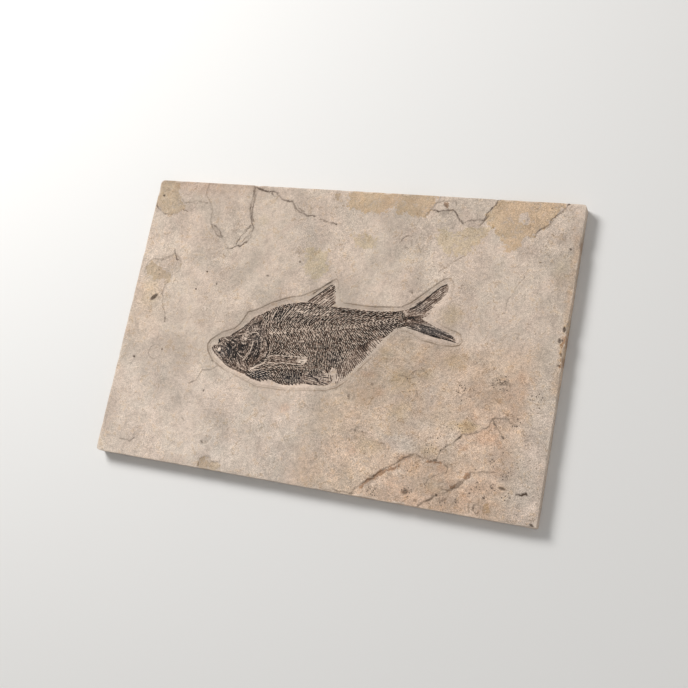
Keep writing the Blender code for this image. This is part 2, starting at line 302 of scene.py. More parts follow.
# thin layers that have split away: depth, darkness of the painted shadow at the foot of the step, then the
# outline
ledges = (
    (0.3, 0.22, ((-137, 67.5), (-134, 70), (-129.6, 66.7), (-126, 65.6), (-121.4, 65.5), (-116.9, 66.2),
     (-113.7, 68.7), (-110, 67.6), (-106, 70), (-105, 73.8), (-109.6, 74), (-114.1, 74), (-117, 76),
     (-116, 79.2), (-113.2, 79.6), (-110.5, 81.4), (-108.3, 84), (-107.8, 90), (-137, 90))),
    (0.25, 0.25, ((-130.5, 33), (-127, 35.5), (-121.4, 35.4), (-117, 37.2), (-112.3, 40.2), (-107.8, 37.2),
     (-106, 33.6), (-106.9, 29), (-110.5, 25.4), (-113.2, 20.5), (-123.2, 20.9), (-129.6, 22.7),
     (-131.4, 25.4))),
    (0.26, 0.3, ((-100.5, 90), (-100.5, 79.8), (-96, 74.4), (-93.3, 69.9), (-92.8, 63.5), (-91.5, 60.8),
     (-87.9, 59.4), (-84.2, 56.3), (-80, 50), (-77, 46.3), (-74.7, 45.8), (-71.5, 47.7), (-67.9, 48.6),
     (-64.7, 50.8), (-62.5, 54.5), (-62.9, 57.2), (-62.5, 59.9), (-63.8, 62.6), (-65.6, 67.1), (-67.5, 71.7),
     (-67.9, 76.2), (-67.5, 81.7), (-67.9, 90))),
    (0.25, 0.3, ((53, 90), (50.4, 83.5), (48.5, 79.4), (53.1, 78.9), (56.7, 79.8), (60.3, 80.3), (63, 78),
     (64.9, 74.9), (68, 72.8), (70.3, 74.4), (77.6, 75.3), (79.8, 75.3), (80.7, 78.5), (83, 82.1),
     (85.3, 85.3), (86.4, 90))),
    (0.16, 0, ((96, 90), (103, 80), (109.7, 67.6), (111.1, 70.8), (113.8, 73), (116.5, 75.3), (117.4, 78),
     (119.3, 79.4), (122, 82.6), (125.6, 90))),
    (0.25, 0.35, ((-64.5, -90), (-63.5, -84), (-62, -81.5), (-58, -80.5), (-54, -82.5), (-49.5, -82),
     (-48, -90))),
    (0.36, 0.12, ((30, -90), (35.9, -82.6), (41.3, -78), (46.7, -73.5), (50.4, -69.9), (54.9, -66.7),
     (58.5, -63.5), (63, -60.8), (68, -60.6), (76, -62.4), (80.3, -62.2), (83.9, -64.4), (83.9, -67.6),
     (78.5, -69.4), (74.4, -72.6), (73, -74.9), (70.3, -78), (68.5, -80.7), (64, -85.3), (60, -90))),
    (0.26, 0.28, ((70, -90), (73.9, -85.3), (77.6, -82.6), (80.3, -79.9), (85.4, -77), (87.5, -76.2),
     (90.3, -71.7), (93.9, -69.4), (96.6, -65.3), (102, -64.4), (109.3, -63.5), (112, -68), (110, -74),
     (104, -79), (100, -90))),
)

# half width, depth, darkness, then the line; where a line follows the step of a flaked layer its darkness is
# painted shadow of the step, elsewhere it is the dark fill of a crack
cracks = (
    (0.52, 0.28, 1, ((-54.8, 84.4), (-51.6, 83.9), (-49.4, 81.2), (-46.6, 79.8), (-43.5, 79.2),
     (-40.3, 78.9), (-38.5, 76.7), (-36.2, 74.4), (-33.5, 72.6), (-30.8, 71.7), (-28.5, 70.3), (-26.2, 70.8),
     (-23.5, 70.8))),
    (0.4, 0.12, 0.8, ((-134, 70), (-129.6, 66.7), (-126, 65.6), (-121.4, 65.5), (-116.9, 66.2),
     (-113.7, 68.7), (-110, 67.8))),
    (0.4, 0.2, 1, ((-54.8, 83.5), (-53, 81.7), (-50.2, 80.8))),
    (0.38, 0.15, 0.75, ((-35, 75.4), (-32.4, 73.8), (-30.6, 73))),
    (0.38, 0.14, 0.94, ((-19.9, 69), (-17, 68.6), (-14, 67.6), (-8, 66.2))),
    (0.45, 0.18, 1, ((-66.5, 86.6), (-64.4, 85.4), (-61.6, 85.3), (-58, 84.4), (-55.6, 84.4))),
    (0.45, 0.2, 0.88, ((-67.9, 88), (-67.5, 81.7), (-67.9, 76.2), (-67.5, 71.7), (-65.6, 67.1),
     (-63.8, 62.6), (-62.5, 59.9), (-62.9, 57.2), (-62.5, 54.5), (-64.7, 50.8))),
    (0.34, 0.14, 0.75, ((-67.2, 86), (-66.4, 80), (-65.4, 77), (-66.2, 72), (-64.6, 67.6), (-63.2, 64.4))),
    (0.4, 0.16, 0.94, ((-64.7, 51.4), (-67.9, 48.9), (-71.5, 47.9), (-74.7, 46), (-77, 46.4))),
    (0.34, 0.14, 0.81, ((-64.7, 61.7), (-67.5, 57.2), (-69.7, 54.5), (-71.5, 49.4))),
    (0.31, 0.12, 0.62, ((-63.4, 58.4), (-65.6, 54.4), (-67.4, 51.2))),
    (0.29, 0.1, 0.5, ((-66, 60), (-67.4, 58.8), (-69, 56.8))),
    (0.38, 0.16, 0.66, ((-114, 20), (-115, 14), (-113, 8), (-110, 2), (-108.5, -4))),
    (0.38, 0.14, 1, ((-112.8, 42.4), (-111.4, 38), (-110.4, 36.4), (-109.4, 35.8))),
    (0.34, 0.1, 0.3, ((-100.5, 79.8), (-96, 74.4), (-93.3, 69.9), (-92.8, 63.5), (-91.9, 60.8))),
    (0.38, 0.14, 0.75, ((-92, 61), (-88, 59.6), (-85.6, 57.4), (-83.6, 55), (-82.2, 52.9))),
    (0.34, 0.12, 0.56, ((-91, 60), (-88.8, 56.5), (-86, 53.6), (-82.4, 52.9))),
    (0.36, 0.13, 0.45, ((-116, 79), (-113.2, 79.4), (-110.5, 81.2), (-108.3, 83.9), (-107.8, 86.2))),
    (0.36, 0.13, 0.45, ((-114.1, 73.5), (-109.6, 73.9), (-106, 75.3), (-103.3, 74.9), (-97.8, 73.9))),
    (0.34, 0.14, 0.5, ((-65, -27), (-70, -30), (-75, -31), (-76, -34), (-78, -37), (-82, -39.5))),
    (0.34, 0.1, 0.69, ((-120, -79), (-113, -79.5), (-110, -77))),
    (0.34, 0.1, 0.62, ((44.9, 75.3), (48.5, 79.8), (50.4, 83.5), (54.9, 84.8), (61.7, 85.3), (62.6, 82.6))),
    (0.43, 0.18, 1, ((48.5, 79.4), (53.1, 78.9), (56.7, 79.8), (60.3, 80.3), (63, 78), (64.9, 74.9),
     (68, 72.6))),
    (0.43, 0.18, 1, ((68, 73), (70.3, 74.4), (73.9, 74.9), (77.6, 75.3), (79.8, 75.3), (80.7, 78.5),
     (83, 82.1), (85.3, 85.3), (86.2, 88))),
    (0.38, 0.14, 0.88, ((77.6, 71.7), (79.8, 74.9), (82, 78))),
    (0.49, 0.22, 1, ((125.4, 88), (122, 82.6), (119.3, 79.4), (117.4, 78), (116.5, 75.3), (113.8, 73),
     (111.1, 70.8), (109.7, 67.6))),
    (0.34, 0.12, 0.88, ((118.6, 78.4), (117.6, 75.6), (115.4, 73))),
    (0.34, 0.12, 0.75, ((59.4, 42.7), (63, 46.3), (68.5, 50.8), (72.1, 53.1))),
    (0.29, 0.08, 0.44, ((100.2, 22.7), (101.1, 30), (103.9, 37.2), (107.5, 42.7), (108.4, 49))),
    (0.34, 0.1, 0.69, ((35, 56.6), (32.8, 57.8), (34.6, 60.6), (37, 62), (40.4, 62.4))),
    (0.29, 0.1, 0.56, ((36, 56.4), (38.6, 54.6), (40.6, 57), (40.2, 60))),
    (0.4, 0.22, 0.34, ((34.5, -84), (41.3, -78.2), (46.7, -73.7), (50.4, -70.1), (54.9, -66.9))),
    (0.85, 0.26, 0.5, ((56.4, -65.8), (58.5, -64), (61, -62.2), (63, -61.2))),
    (0.4, 0.16, 0.5, ((62.4, -60.6), (65, -60), (67.4, -60.6))),
    (0.7, 0.2, 0.3, ((42.2, -78.6), (45.8, -75), (50.4, -72.2), (54.9, -69.4), (57.2, -67.8))),
    (0.38, 0.2, 0.62, ((80.3, -62.2), (83.9, -64.4), (83.9, -67.6), (78.5, -69.4), (74.4, -72.6),
     (73, -74.9), (70.3, -78), (68.5, -80.7), (64, -85.3), (61.7, -87.5))),
    (0.7, 0.22, 0.6, ((80.3, -79.9), (77.6, -82.6), (73.9, -85.3), (71.2, -87.5))),
    (0.45, 0.16, 0.6, ((83, -76), (86, -76.3), (89.6, -75), (92.4, -72.6), (93.8, -70.2))),
    (0.38, 0.14, 0.4, ((94, -70), (95.4, -69), (96.6, -67), (97, -65))),
    (0.34, 0.12, 0.7, ((100.8, -82), (101.4, -84.6), (103.4, -86), (105.4, -84), (104.8, -81.4),
     (102.6, -80.4), (100.8, -82))),
    (0.38, 0.12, 0.3, ((97, -65), (102, -64.4), (109.3, -63.5))),
    (0.38, 0.18, 0.8, ((103.8, -35.4), (102, -39.5), (98, -42.7), (95.2, -44.9), (88.9, -46.3),
     (86.6, -49.9), (84.8, -51.7), (80.7, -54), (78, -57.2), (76.6, -60.8))),
    (0.34, 0.12, 0.75, ((103.8, -35.4), (106.6, -34), (111.1, -34), (113.8, -35.9), (117.4, -37.7))),
    (0.4, 0.14, 0.9, ((104.3, -35.9), (106.6, -39.5), (109.3, -42.2), (111.1, -44.9))),
    (0.45, 0.14, 0.62, ((98.4, -80), (98.2, -83), (99, -86))),
    (0.45, 0.14, 0.75, ((15, -87), (22, -87.2), (34, -87))),
    (0.34, 0.1, 0.6, ((53.4, -18), (56.6, -14.8), (60.6, -14.4), (63.8, -16.4))),
    (0.36, 0.12, 0.5, ((98.6, -16.4), (101, -16.8), (103.4, -15.6), (106, -15.2))),
    (0.36, 0.12, 0.5, ((106, -15.2), (107.6, -14.8), (109.2, -16), (110, -17.2))),
    (0.34, 0.1, 0.5, ((47, -19), (51, -19.4), (57, -19.2))),
    (0.6, 0.3, 1.7, ((122.4, -72.4), (124.4, -72.5), (127.4, -71.7))),
    # bits of the dorsal fin's first ray, left outside the cleaned margin
    (0.4, 0, 1, ((-14.4, 22.8), (-11.5, 25), (-10, 26.4))),
    (0.4, 0, 0.9, ((-8.9, 27.4), (-6.6, 29.4), (-4.2, 31))),
)

# dark grains and pits: place, half length, half width, turn in degrees, darkness, height
spots = (
    (-120, 10.8, 3.5, 1.5, 42, 1, 0.1), (-124, -28, 1.08, 0.81, 0, 1, -0.2),
    (-105.6, -21.4, 0.6, 0.9, 10, 0.9, -0.2), (-87, 30.2, 0.81, 0.68, 0, 1, -0.15),
    (-92, 18.6, 0.81, 0.68, 0, 1, -0.15), (-78.5, 23, 0.61, 0.81, 0, 0.88, -0.1),
    (-45.5, 31.2, 1.08, 0.68, 0, 0.75, -0.1), (-26.6, 41.6, 0.68, 0.94, 0, 0.88, -0.1),
    (130, 61.8, 0.81, 0.81, 0, 1, -0.15), (115, 53, 0.9, 0.5, 0, 0.7, -0.1),
    (-71, -42.8, 0.6, 1, -15, 0.8, -0.15), (-130.6, 77.6, 1.08, 0.81, 0, 1, -0.15),
    (-69.6, -24.4, 1, 0.5, -25, 0.7, -0.1), (-80.5, -61.3, 1.6, 0.6, -30, 0.45, -0.1),
    (56, 82.6, 1.7, 1, -20, 0.55, -0.1), (76.4, -61.8, 1.6, 0.8, 8, 0.8, -0.15),
    (74, -62.8, 1.6, 0.7, 30, 0.4, -0.1), (63, -80.9, 2.4, 1.5, 30, 0.6, -0.1),
    (89.8, -73.6, 4.6, 1.3, 32, 0.4, -0.1), (114.4, -70.8, 2.3, 0.95, -4, 0.85, -0.15),
    (97.8, -76, 0.7, 0.7, 0, 0.85, -0.1), (98.4, -73.8, 0.55, 0.5, 0, 0.85, -0.1),
    (109.4, -71.3, 0.6, 0.9, 10, 0.7, -0.1), (109.4, -69.4, 0.9, 0.4, 0, 0.7, -0.1),
    (99, -63.4, 0.6, 0.4, 0, 0.8, -0.1), (101, -69.6, 0.75, 0.35, 0, 0.9, -0.1),
    (133.4, 17.2, 1.1, 1.8, 0, 1, -0.2), (131.8, 10.8, 1, 1.6, 0, 0.9, -0.2),
    (133.8, 3.4, 0.8, 1.2, 0, 0.8, -0.2), (133.6, -2.6, 1.2, 0.7, 0, 0.8, -0.2),
    (20.4, -33.6, 1.3, 0.8, 60, 0.5, -0.1), (69.4, -84.6, 1.6, 0.8, 30, 0.5, -0.1),
    (85, -81.6, 2, 0.8, 25, 0.5, -0.1), (91.4, -81.4, 1.2, 1, 0, 0.4, -0.1),
    (132.4, -87, 1.4, 0.8, -20, 1, -0.2), (45.2, 30, 1.6, 0.7, 20, 0.35, -0.1),
    (46, 29.4, 0.81, 0.81, 0, 0.75, -0.1), (48, 37.8, 0.9, 0.5, -20, 0.5, -0.1),
    (80.4, -80, 0.81, 0.81, 0, 1, -0.2), (105.6, -77.2, 1.08, 0.54, -20, 1, -0.1),
    (21, -35, 0.6, 1.2, 0, 0.5, -0.1), (33, -25.6, 1.08, 1.08, 0, 0.5, -0.1),
    (28.3, -52.4, 0.94, 0.94, 0, 0.62, -0.1), (106, -16, 3.5, 0.9, 12, 0.45, -0.1),
    (-64.6, -72.8, 1.3, 0.6, -30, 0.7, -0.1), (133.2, 11.2, 0.7, 0.9, 0, 0.9, -0.2),
    (134.2, 17.4, 0.6, 0.9, 0, 0.9, -0.2), (-27, 70.7, 2.2, 0.45, 0, 0.5, -0.1),
)

# shell-like ring pressed into the stone
ringMark = {"place": (-110, -23.5), "radius": 4.4, "halfWidth": 0.35, "depth": 0.12, "darkness": 0.4}

tints = {
    # colour, and whether its patches have a sharp edge
    "tan": ((0.76, 0.71, 0.61), True),
    "orange": ((0.86, 0.77, 0.62), True),
    "grey": ((0.79, 0.78, 0.775), True),
    "green": ((0.89, 0.875, 0.755), True),
    # brown stains, and painted shade on the band of the double step at the lower right
    "brownStainAndShade": ((0.62, 0.50, 0.42), True),
    "warm": ((1.02, 0.91, 0.79), False),
    "rosy": ((0.92, 0.82, 0.76), False),
    "olive": ((0.91, 0.89, 0.77), False),
    # grey patches of the stone, and painted shade over the upper left
    "shade": ((0.82, 0.81, 0.80), False),
    # a cooler hue of the stone, and painted light that brightens the lower left, where the key light falls
    # off
    "cool": ((1.05, 1.075, 1.10), False),
    # painted light: brightens the lower right and other places, with painted sheen on the lower right corner
    "paintedLight": ((1.16, 1.175, 1.20), False),
    # pale chips of the stone, and a painted highlight along one lit step edge
    "paleChipsAndHighlight": ((1.2, 1.22, 1.25), True),
}

# stains: tint, strength, softness of the edge, then the outline
stainAreas = (
    ("tan", 0.85, 1.4, ((-137, 67.5), (-134, 69.6), (-129.6, 66.9), (-126, 65.9), (-121.4, 65.7),
     (-116.9, 66.4), (-113.7, 68.9), (-112, 71), (-115, 73), (-118, 76), (-121, 81), (-121, 90),
     (-137, 90))),
    ("shade", 0.45, 2, ((-112, 74), (-104, 74.4), (-96, 73.6), (-92.4, 61), (-104, 61.4), (-112, 65))),
    ("tan", 0.9, 1.3, ((-131, 30), (-128, 33), (-124, 31.6), (-121, 30.8), (-118, 28.5), (-113, 27.5),
     (-111, 25), (-113.2, 20.5), (-116, 22.4), (-123.2, 21.6), (-129.6, 24.7), (-131.4, 27))),
    ("shade", 0.9, 1.6, ((-127, 35.5), (-121.4, 36.4), (-117, 39.2), (-112.3, 42.2), (-107.8, 38.2),
     (-106, 33.6), (-107.9, 29), (-111, 25), (-120, 28), (-126, 31))),
    ("warm", 0.2, 6, ((-137, 18), (-120, 20), (-112, 12), (-112, -6), (-120, -16), (-137, -16))),
    ("shade", 0.45, 4, ((-93, 90), (-93, 64), (-84, 53), (-72, 49), (-64, 58), (-67, 90))),
    ("shade", 0.95, 2.6, ((-79.5, 76), (-76, 77), (-73, 72), (-70.6, 64), (-73, 57), (-77.5, 58),
     (-79, 66))),
    ("grey", 0.8, 0.7, ((-91.5, 60.4), (-87.9, 59.2), (-84.4, 56), (-82.4, 53.1), (-86, 53.6),
     (-88.8, 56.4))),
    ("grey", 0.9, 0.5, ((-68, 88), (-65.2, 84), (-64.8, 77), (-66, 71.5), (-63.4, 65), (-64.4, 62.4),
     (-66.6, 68), (-68.2, 75))),
    ("tan", 0.8, 0.8, ledges[5][2]),
    ("grey", 0.9, 0.7, ((-67, -72.5), (-61, -68), (-58.6, -67.6), (-60, -71.5), (-64, -75))),
    ("orange", 0.85, 1.6, ((-3, 90), (-3.5, 80), (-2, 76), (6, 75.5), (14, 73.5), (20, 76), (26, 79),
     (29, 73), (31.5, 77.5), (36, 75), (45, 74), (48, 80), (50, 85), (51, 90))),
    ("orange", 0.85, 1.4, ((87, 90), (85, 85), (80.5, 79), (79.5, 75), (84, 71.6), (87, 70.6), (89, 66.5),
     (93.4, 61.4), (96, 57), (101, 58), (103, 63), (105, 68), (109, 67.6), (115, 74), (120, 81),
     (124.5, 90))),
    ("green", 0.8, 2, ((56.7, 70), (64, 66.6), (74, 70.6), (80, 71), (85, 70.6), (82, 65.6), (78, 61.6),
     (76.4, 57), (72, 54.6), (64, 53), (57, 57), (54, 62))),
    ("grey", 0.9, 0.8, ((53.4, 80), (53.6, 77.4), (57, 76.6), (60.4, 78), (60, 80.4))),
    ("brownStainAndShade", 0.8, 0.6, ((54, 84), (57.6, 83.8), (58.6, 81.8), (56.4, 81), (54, 82))),
    ("green", 0.85, 1.8, ((-25, 50), (-10, 50), (-9, 36), (-14, 31), (-22, 35))),
    ("green", 0.85, 1.8, ((3, 60), (10, 61), (20, 60), (20, 54), (12, 53), (6, 55))),
    ("rosy", 0.5, 3, ((-132, 90), (-60, 90), (-62, 84), (-84, 83), (-104, 80), (-122, 84))),
    # cooler hue, and painted light that brightens the lower left
    ("cool", 0.8, 14, ((-137, -20), (-70, -34), (-10, -50), (-6, -92), (-137, -92))),
    ("warm", 0.6, 8, ((-6, -92), (-2, -62), (4, -40), (12, -30), (24, -20), (36, -6), (46, 3), (60, 0),
     (84, 1), (122, 4), (121, -40), (118, -92))),
    ("rosy", 0.45, 7, ((86, -20), (122, -10), (120, -46), (104, -60), (92, -52), (84, -34))),
    ("rosy", 0.45, 4, ((34, -90), (42, -80), (66, -60), (98, -62), (116, -72), (112, -90))),
    # painted light over the lower right
    ("paintedLight", 0.65, 10, ((-10, -92), (0, -50), (50, -32), (100, -22), (137, -26), (137, -92))),
    # painted highlight along the lit edge of the lower step
    ("paleChipsAndHighlight", 0.8, 0.7, ((42, -80.4), (50, -75), (53, -72.6), (57, -69.4), (58.8, -69), (57, -71.7),
     (53, -75), (50.6, -77.4), (43, -82.4))),
    # brown stain and painted shade on the band between the two steps
    ("brownStainAndShade", 1, 0.9, ((37, -82), (44, -76), (51, -70.4), (57, -66.8), (56, -69), (50, -72.4), (44, -77.8),
     (37, -84))),
    ("orange", 0.7, 0.9, ((133, 23), (136, 23), (136, -3), (132.4, -2), (132.8, 6), (133.6, 13))),
    ("grey", 0.95, 0.5, ((79, -72.4), (84, -70.4), (93.4, -70), (92.2, -72.8), (89.4, -75), (85, -76.4),
     (80.4, -75.4))),
    ("brownStainAndShade", 0.4, 0.8, ((85.6, -73.4), (87.6, -72.4), (89.8, -72.6), (88.6, -74.6), (86.4, -75))),
    ("brownStainAndShade", 0.45, 0.5, ((93.6, -65.4), (96, -64.6), (97.2, -67), (95.6, -69.4), (93.8, -69))),
    ("rosy", 1, 0.6, ((95.4, -45.4), (98.2, -42.8), (102, -39.6), (104.2, -36.4), (107, -40), (110.4, -44.6),
     (110, -50), (104, -49.4), (100, -51.4), (97, -48.6))),
    ("olive", 1, 0.8, ((85, -40), (90, -38), (97.6, -41), (95, -44.4), (89, -45.6), (85.4, -43.6))),
    ("shade", 0.4, 0.7, ((80.4, -55), (84.4, -56), (92, -53), (95.4, -58), (94, -64), (88, -68.6),
     (84.2, -67.6), (84, -64), (80.4, -62), (78.4, -60))),
    ("tan", 0.8, 0.5, ((105.6, -80.4), (108, -79.6), (110.6, -81.4), (111, -84.8), (108, -86),
     (105.8, -84.6))),
    # painted shade: darkens the upper left, where the key light falls strongest
    ("shade", 0.35, 12, ((-137, 90), (-137, 40), (-100, 40), (-60, 48), (-50, 22), (-8, 34), (6, 30),
     (0, 90))),
    ("warm", 0.6, 1.5, ((131, 70), (136, 70), (136, -20), (131.5, -18), (132.5, 20))),
    ("warm", 0.6, 3, ((36, 2), (44, 5), (58, 1.5), (80, 0), (80, -8), (40, -8), (30, -14))),
)

# pale places inside the stains, then soft blotches of each tint: strength, place, radii
clouds = {
    "pale": (
        (0.9, 56, -55, 13, 7), (0.6, 66, -44, 7, 4), (0.7, 6, -62, 8, 10), (0.6, 68, -28, 5, 9),
        (0.8, 128, -72, 10, 15), (0.5, 82, -48, 5, 3), (0.6, 102, 77, 4, 5), (0.8, 84.6, 63.6, 4, 4.6),
        (0.5, 123, -20, 5, 12),
    ),
    "olive": (
        (0.6, 50, -22, 10, 8), (0.6, 38, -60, 9, 6), (0.6, 78, -7, 9, 5), (0.5, 52, -38, 9, 6),
        (0.5, 85, -41.5, 6, 3), (0.6, 38, -6, 4, 7), (0.5, 62, -16, 7, 4), (0.5, -56, 66, 5, 4),
        (0.5, 72, -57, 6, 3), (0.5, 78, -76, 6, 4), (0.4, 127, 48, 5, 12), (0.6, -124, 14, 8, 14),
        (0.7, 71, 18, 8, 8),
    ),
    "warm": (
        (0.8, 26, -40, 13, 11), (0.8, 58, -8, 13, 5), (0.8, 106, -8, 12, 5), (0.8, 29, -76, 9, 5),
        (0.8, 96, -62, 5, 6),
    ),
    "rosy": (
        (0.7, 96, -33, 7, 7), (0.7, 115, -30, 4, 10), (0.7, 93, -78, 7, 4), (0.7, 29, -20, 6, 3),
        (0.6, 38, -30, 5, 4), (0.7, 28, -64, 4, 3), (0.7, 59, -63.4, 5, 2.4), (1.0, 79.6, -66, 4.6, 3),
        (0.8, 91, -52.5, 4.5, 2.6), (0.6, 110, -64, 5, 4), (0.6, 116, -13, 4, 6), (0.8, -17, -46, 4, 4),
        (0.5, 44, -80, 5, 4), (0.6, 60, -82, 6, 3),
    ),
    "shade": (
        (0.6, 104, -22, 9, 5), (0.6, 90, -16, 4, 3), (0.6, -75, 61, 5, 10), (0.5, 121, 68, 8, 5),
        (0.5, 57, 76, 5, 3.5), (0.8, -94, -72, 3, 2.5), (0.8, -84, -76, 3, 2), (0.6, -96, -76, 2, 2.4),
        (0.5, -97, -42, 6, 4), (0.6, 77, 37, 5, 4), (0.4, 108, 13, 4, 3), (0.4, 44, 33, 4, 4),
        (0.4, 118, 28, 4, 4), (0.4, 36, 43, 5, 3), (0.4, -118, 45, 8, 6), (0.35, -62, 30, 8, 8),
        (0.4, -35, 10, 14, 8), (0.3, 90, 20, 8, 14), (0.4, -27, -70, 5, 5), (0.45, -6, -66, 4, 4),
        (0.45, -123, -13, 5, 4), (0.5, 123, -44, 3, 4), (0.5, 44, -72, 3, 3), (0.4, -40, 33, 6, 4),
        (0.4, -70, 40, 4, 6), (0.4, -100, 50, 5, 5), (0.5, 39, 27, 3, 2), (0.4, 20, 44, 5, 4),
        (0.4, -48, 56, 4, 3), (0.5, 68, 22, 3, 4),
    ),
    "paleChipsAndHighlight": (
        (0.9, -116.6, 33.8, 0.9, 1.8), (0.9, -118.6, 30.6, 0.9, 1.6), (0.9, -112.6, 44.6, 1.1, 0.7),
        (0.8, -111.6, 77, 1.7, 1.0), (0.8, -101.6, 79, 1.4, 0.9), (0.75, -82.8, 7, 1.7, 2.2),
        (0.8, 50, 81.6, 1.2, 0.7), (0.8, 104, -76.6, 1.6, 0.7),
    ),
    # painted light, and painted sheen on the lower right corner
    "paintedLight": (
        (1.0, 127, -73, 9, 14), (1.0, 16, -74, 18, 16), (0.5, -26, 60, 14, 14), (0.5, -56, -76, 22, 12),
        (1.0, 52, -57, 13, 10), (0.9, 34, -66, 12, 14), (0.7, 72, -20, 9, 16), (0.6, 124, -46, 8, 12),
    ),
    "tan": (
        (0.7, -128.2, 74.4, 5.6, 5.4), (0.7, -11, 84, 3, 3),
    ),
    "brownStainAndShade": (
        (0.8, 63, -81, 4, 1.6), (0.7, 76.8, -62.6, 4, 1.6), (0.9, 134.4, 11, 1.6, 6),
        (0.9, 134.4, 0, 1.8, 4), (0.7, 134.6, 64, 1.4, 3), (0.7, 73.6, -62.4, 2.4, 1.2),
    ),
    "grey": (
        (0.9, 124.4, 67, 3.2, 4.4), (0.8, 53.4, -44, 2.4, 3),
    ),
}

# where fine dark specks crowd together: place, radius, strength
speckFields = (
    (105, -16, 7, 1), (86, -22, 7, 0.8), (125, -22, 6, 0.8), (116, -36, 4, 1), (109.6, -71, 2.4, 1),
    (117.4, -74.6, 3.2, 1.1), (115, -64.6, 4.2, 0.9), (107, -58.4, 3, 0.8), (112, -52.4, 4.6, 0.6),
    (64, -81, 4.6, 0.9), (44, -83, 6, 0.8), (71.6, -77, 3.4, 1), (84.4, -82.4, 3.4, 0.9),
    (91.6, -81.4, 1.8, 1), (101.6, -72.4, 1.8, 1), (63.6, -68.6, 3, 0.7), (90, -42, 5, 0.6),
    (58, -20, 9, 0.5), (84, -44, 7, 0.5), (-122, 26, 6, 0.7), (107, 12, 6, 0.4), (116, 36, 8, 0.4),
    (48, -42, 8, 0.4), (75, -55, 8, 0.5), (30, -50, 10, 0.3), (36, 58, 4, 0.5), (-85, -4, 6, 0.4),
)

troughForm = {
    "step": 0.38,  # the cut at the outer line
    "stepWidth": 0.55,
    "fall": 0.52,  # further fall from there to the bones
    "fallWidth": 3.6,
    "toolMarks": 0.025,
    "rimDarkness": 0.62,
    "rimHalfWidth": 0.42,
    "innerLine": 1.3,  # a second, fainter tool line inside the first
    "innerHalfWidth": 0.3,
    "innerShare": 0.65,
    "bellyShare": 0.5,  # how much stronger both lines are along the belly
}

# where its outline hardly shows, or shows more: change, place, radii
rimPlaces = (
    (-0.8, 68, 20, 10, 9), (-0.7, 64, 15.5, 6, 4), (-0.5, 2, 25, 4, 7), (0.8, 64, 1.6, 18, 4),
    (0.6, 79, 5, 4, 5), (0.5, -74, -16, 5, 9),
)

troughOutline = (
    (-75.5, -14.5), (-74, -11.5), (-71, -9), (-67.5, -6), (-60, -3), (-57, 0.5), (-55, 4.5), (-53.5, 8),
    (-47, 10.5), (-39, 15.3), (-30, 19), (-20, 21.8), (-10, 27), (-5, 31), (-1.5, 33.8), (0.5, 31.5),
    (1.5, 27), (3.5, 21), (7, 19.5), (25, 19), (41, 20.5), (46, 23.5), (54, 31), (63, 39), (67, 40),
    (69.5, 36), (69, 31), (64.5, 24.5), (61, 19.5), (62.5, 15), (67, 12.4), (72.6, 10.4), (75, 10),
    (78.2, 8.4), (79.8, 4.4), (78.2, 2), (74.2, 1), (67.8, 0.8), (63, 1.6), (56.6, 2.4), (54.2, 3.6),
    (51, 5.2), (47, 6.6), (42.2, 6.6), (38, 1.5), (32, -7), (28, -12.5), (22, -20), (17, -26), (12, -30.5),
    (5, -33), (-5, -34), (-20, -36), (-38, -36), (-47, -33), (-60, -29), (-70, -24), (-74.5, -18.5),
)


def ragged(x, y, reach):
    # the same place, pushed about a little, so that edges drawn by it come out broken
    dx = reach * layeredNoise(x, y, 6, 31) + 0.35 * reach * noise(x, y, 1.4, 37)
    dy = reach * layeredNoise(x, y, 6, 41) + 0.35 * reach * noise(x, y, 1.4, 47)
    return x + dx, y + dy


def slabEdge(x, y, halfLength, halfWidth):
    # distance in from the slab's rounded outline, and the direction outwards
    sx = np.where(x < 0, -1, 1)
    sy = np.where(y < 0, -1, 1)
    radius = np.zeros(x.shape)
    for (cx, cy), r in slabForm["cornerRadii"].items():
        radius[(sx == cx) & (sy == cy)] = r
    qx = np.abs(x) - (halfLength - radius)
    qy = np.abs(y) - (halfWidth - radius)
    corner = (qx > 0) & (qy > 0)
    long = np.hypot(qx, qy) + 1e-9
    inward = np.where(corner, radius - long, radius - np.maximum(qx, qy))
    outX = np.where(corner, qx / long, (qx > qy) * 1.0) * sx
    outY = np.where(corner, qy / long, (qx <= qy) * 1.0) * sy
    return inward, outX, outY


def featureDistance(x, y):
    # how far the nearest crack, ledge, trough edge or spot is
    lines = [path for halfWidth, depth, darkness, path in cracks]
    lines = lines + [outline + outline[:1] for depth, darkness, outline in ledges]
    lines.append(troughOutline + troughOutline[:1])
    near = np.full(x.shape, 1e6)
    for path in lines:
        near = np.minimum(near, lineDistance(x, y, path))
    for cx, cy, long, short, turn, darkness, rise in spots:
        near = np.minimum(near, np.hypot(x - cx, y - cy) - max(long, short))
    px, py = ringMark["place"]
    return np.minimum(near, np.abs(np.hypot(x - px, y - py) - ringMark["radius"]))


def troughDepth(x, y):
    form = troughForm
    rx, ry = ragged(x, y, 0.25)
    inside = insideDistance(rx, ry, troughOutline)
    stepped = form["step"] * smoothStep(0, form["stepWidth"], inside)
    fallen = form["fall"] * smoothStep(0.3, form["fallWidth"], inside)
    tooled = form["toolMarks"] * noise(x, y, 0.9, 71) * smoothStep(0.2, 0.6, inside)
    return stepped + fallen + tooled, inside


def bell(distance, halfWidth):
    # 1 on a line, fading on both sides of it
    return np.exp(-(distance / halfWidth) ** 2)


def brokenUp(x, y, level, swing, cell, seed):
    # strength of a line that comes and goes
    return level + swing * noise(x, y, cell, seed)


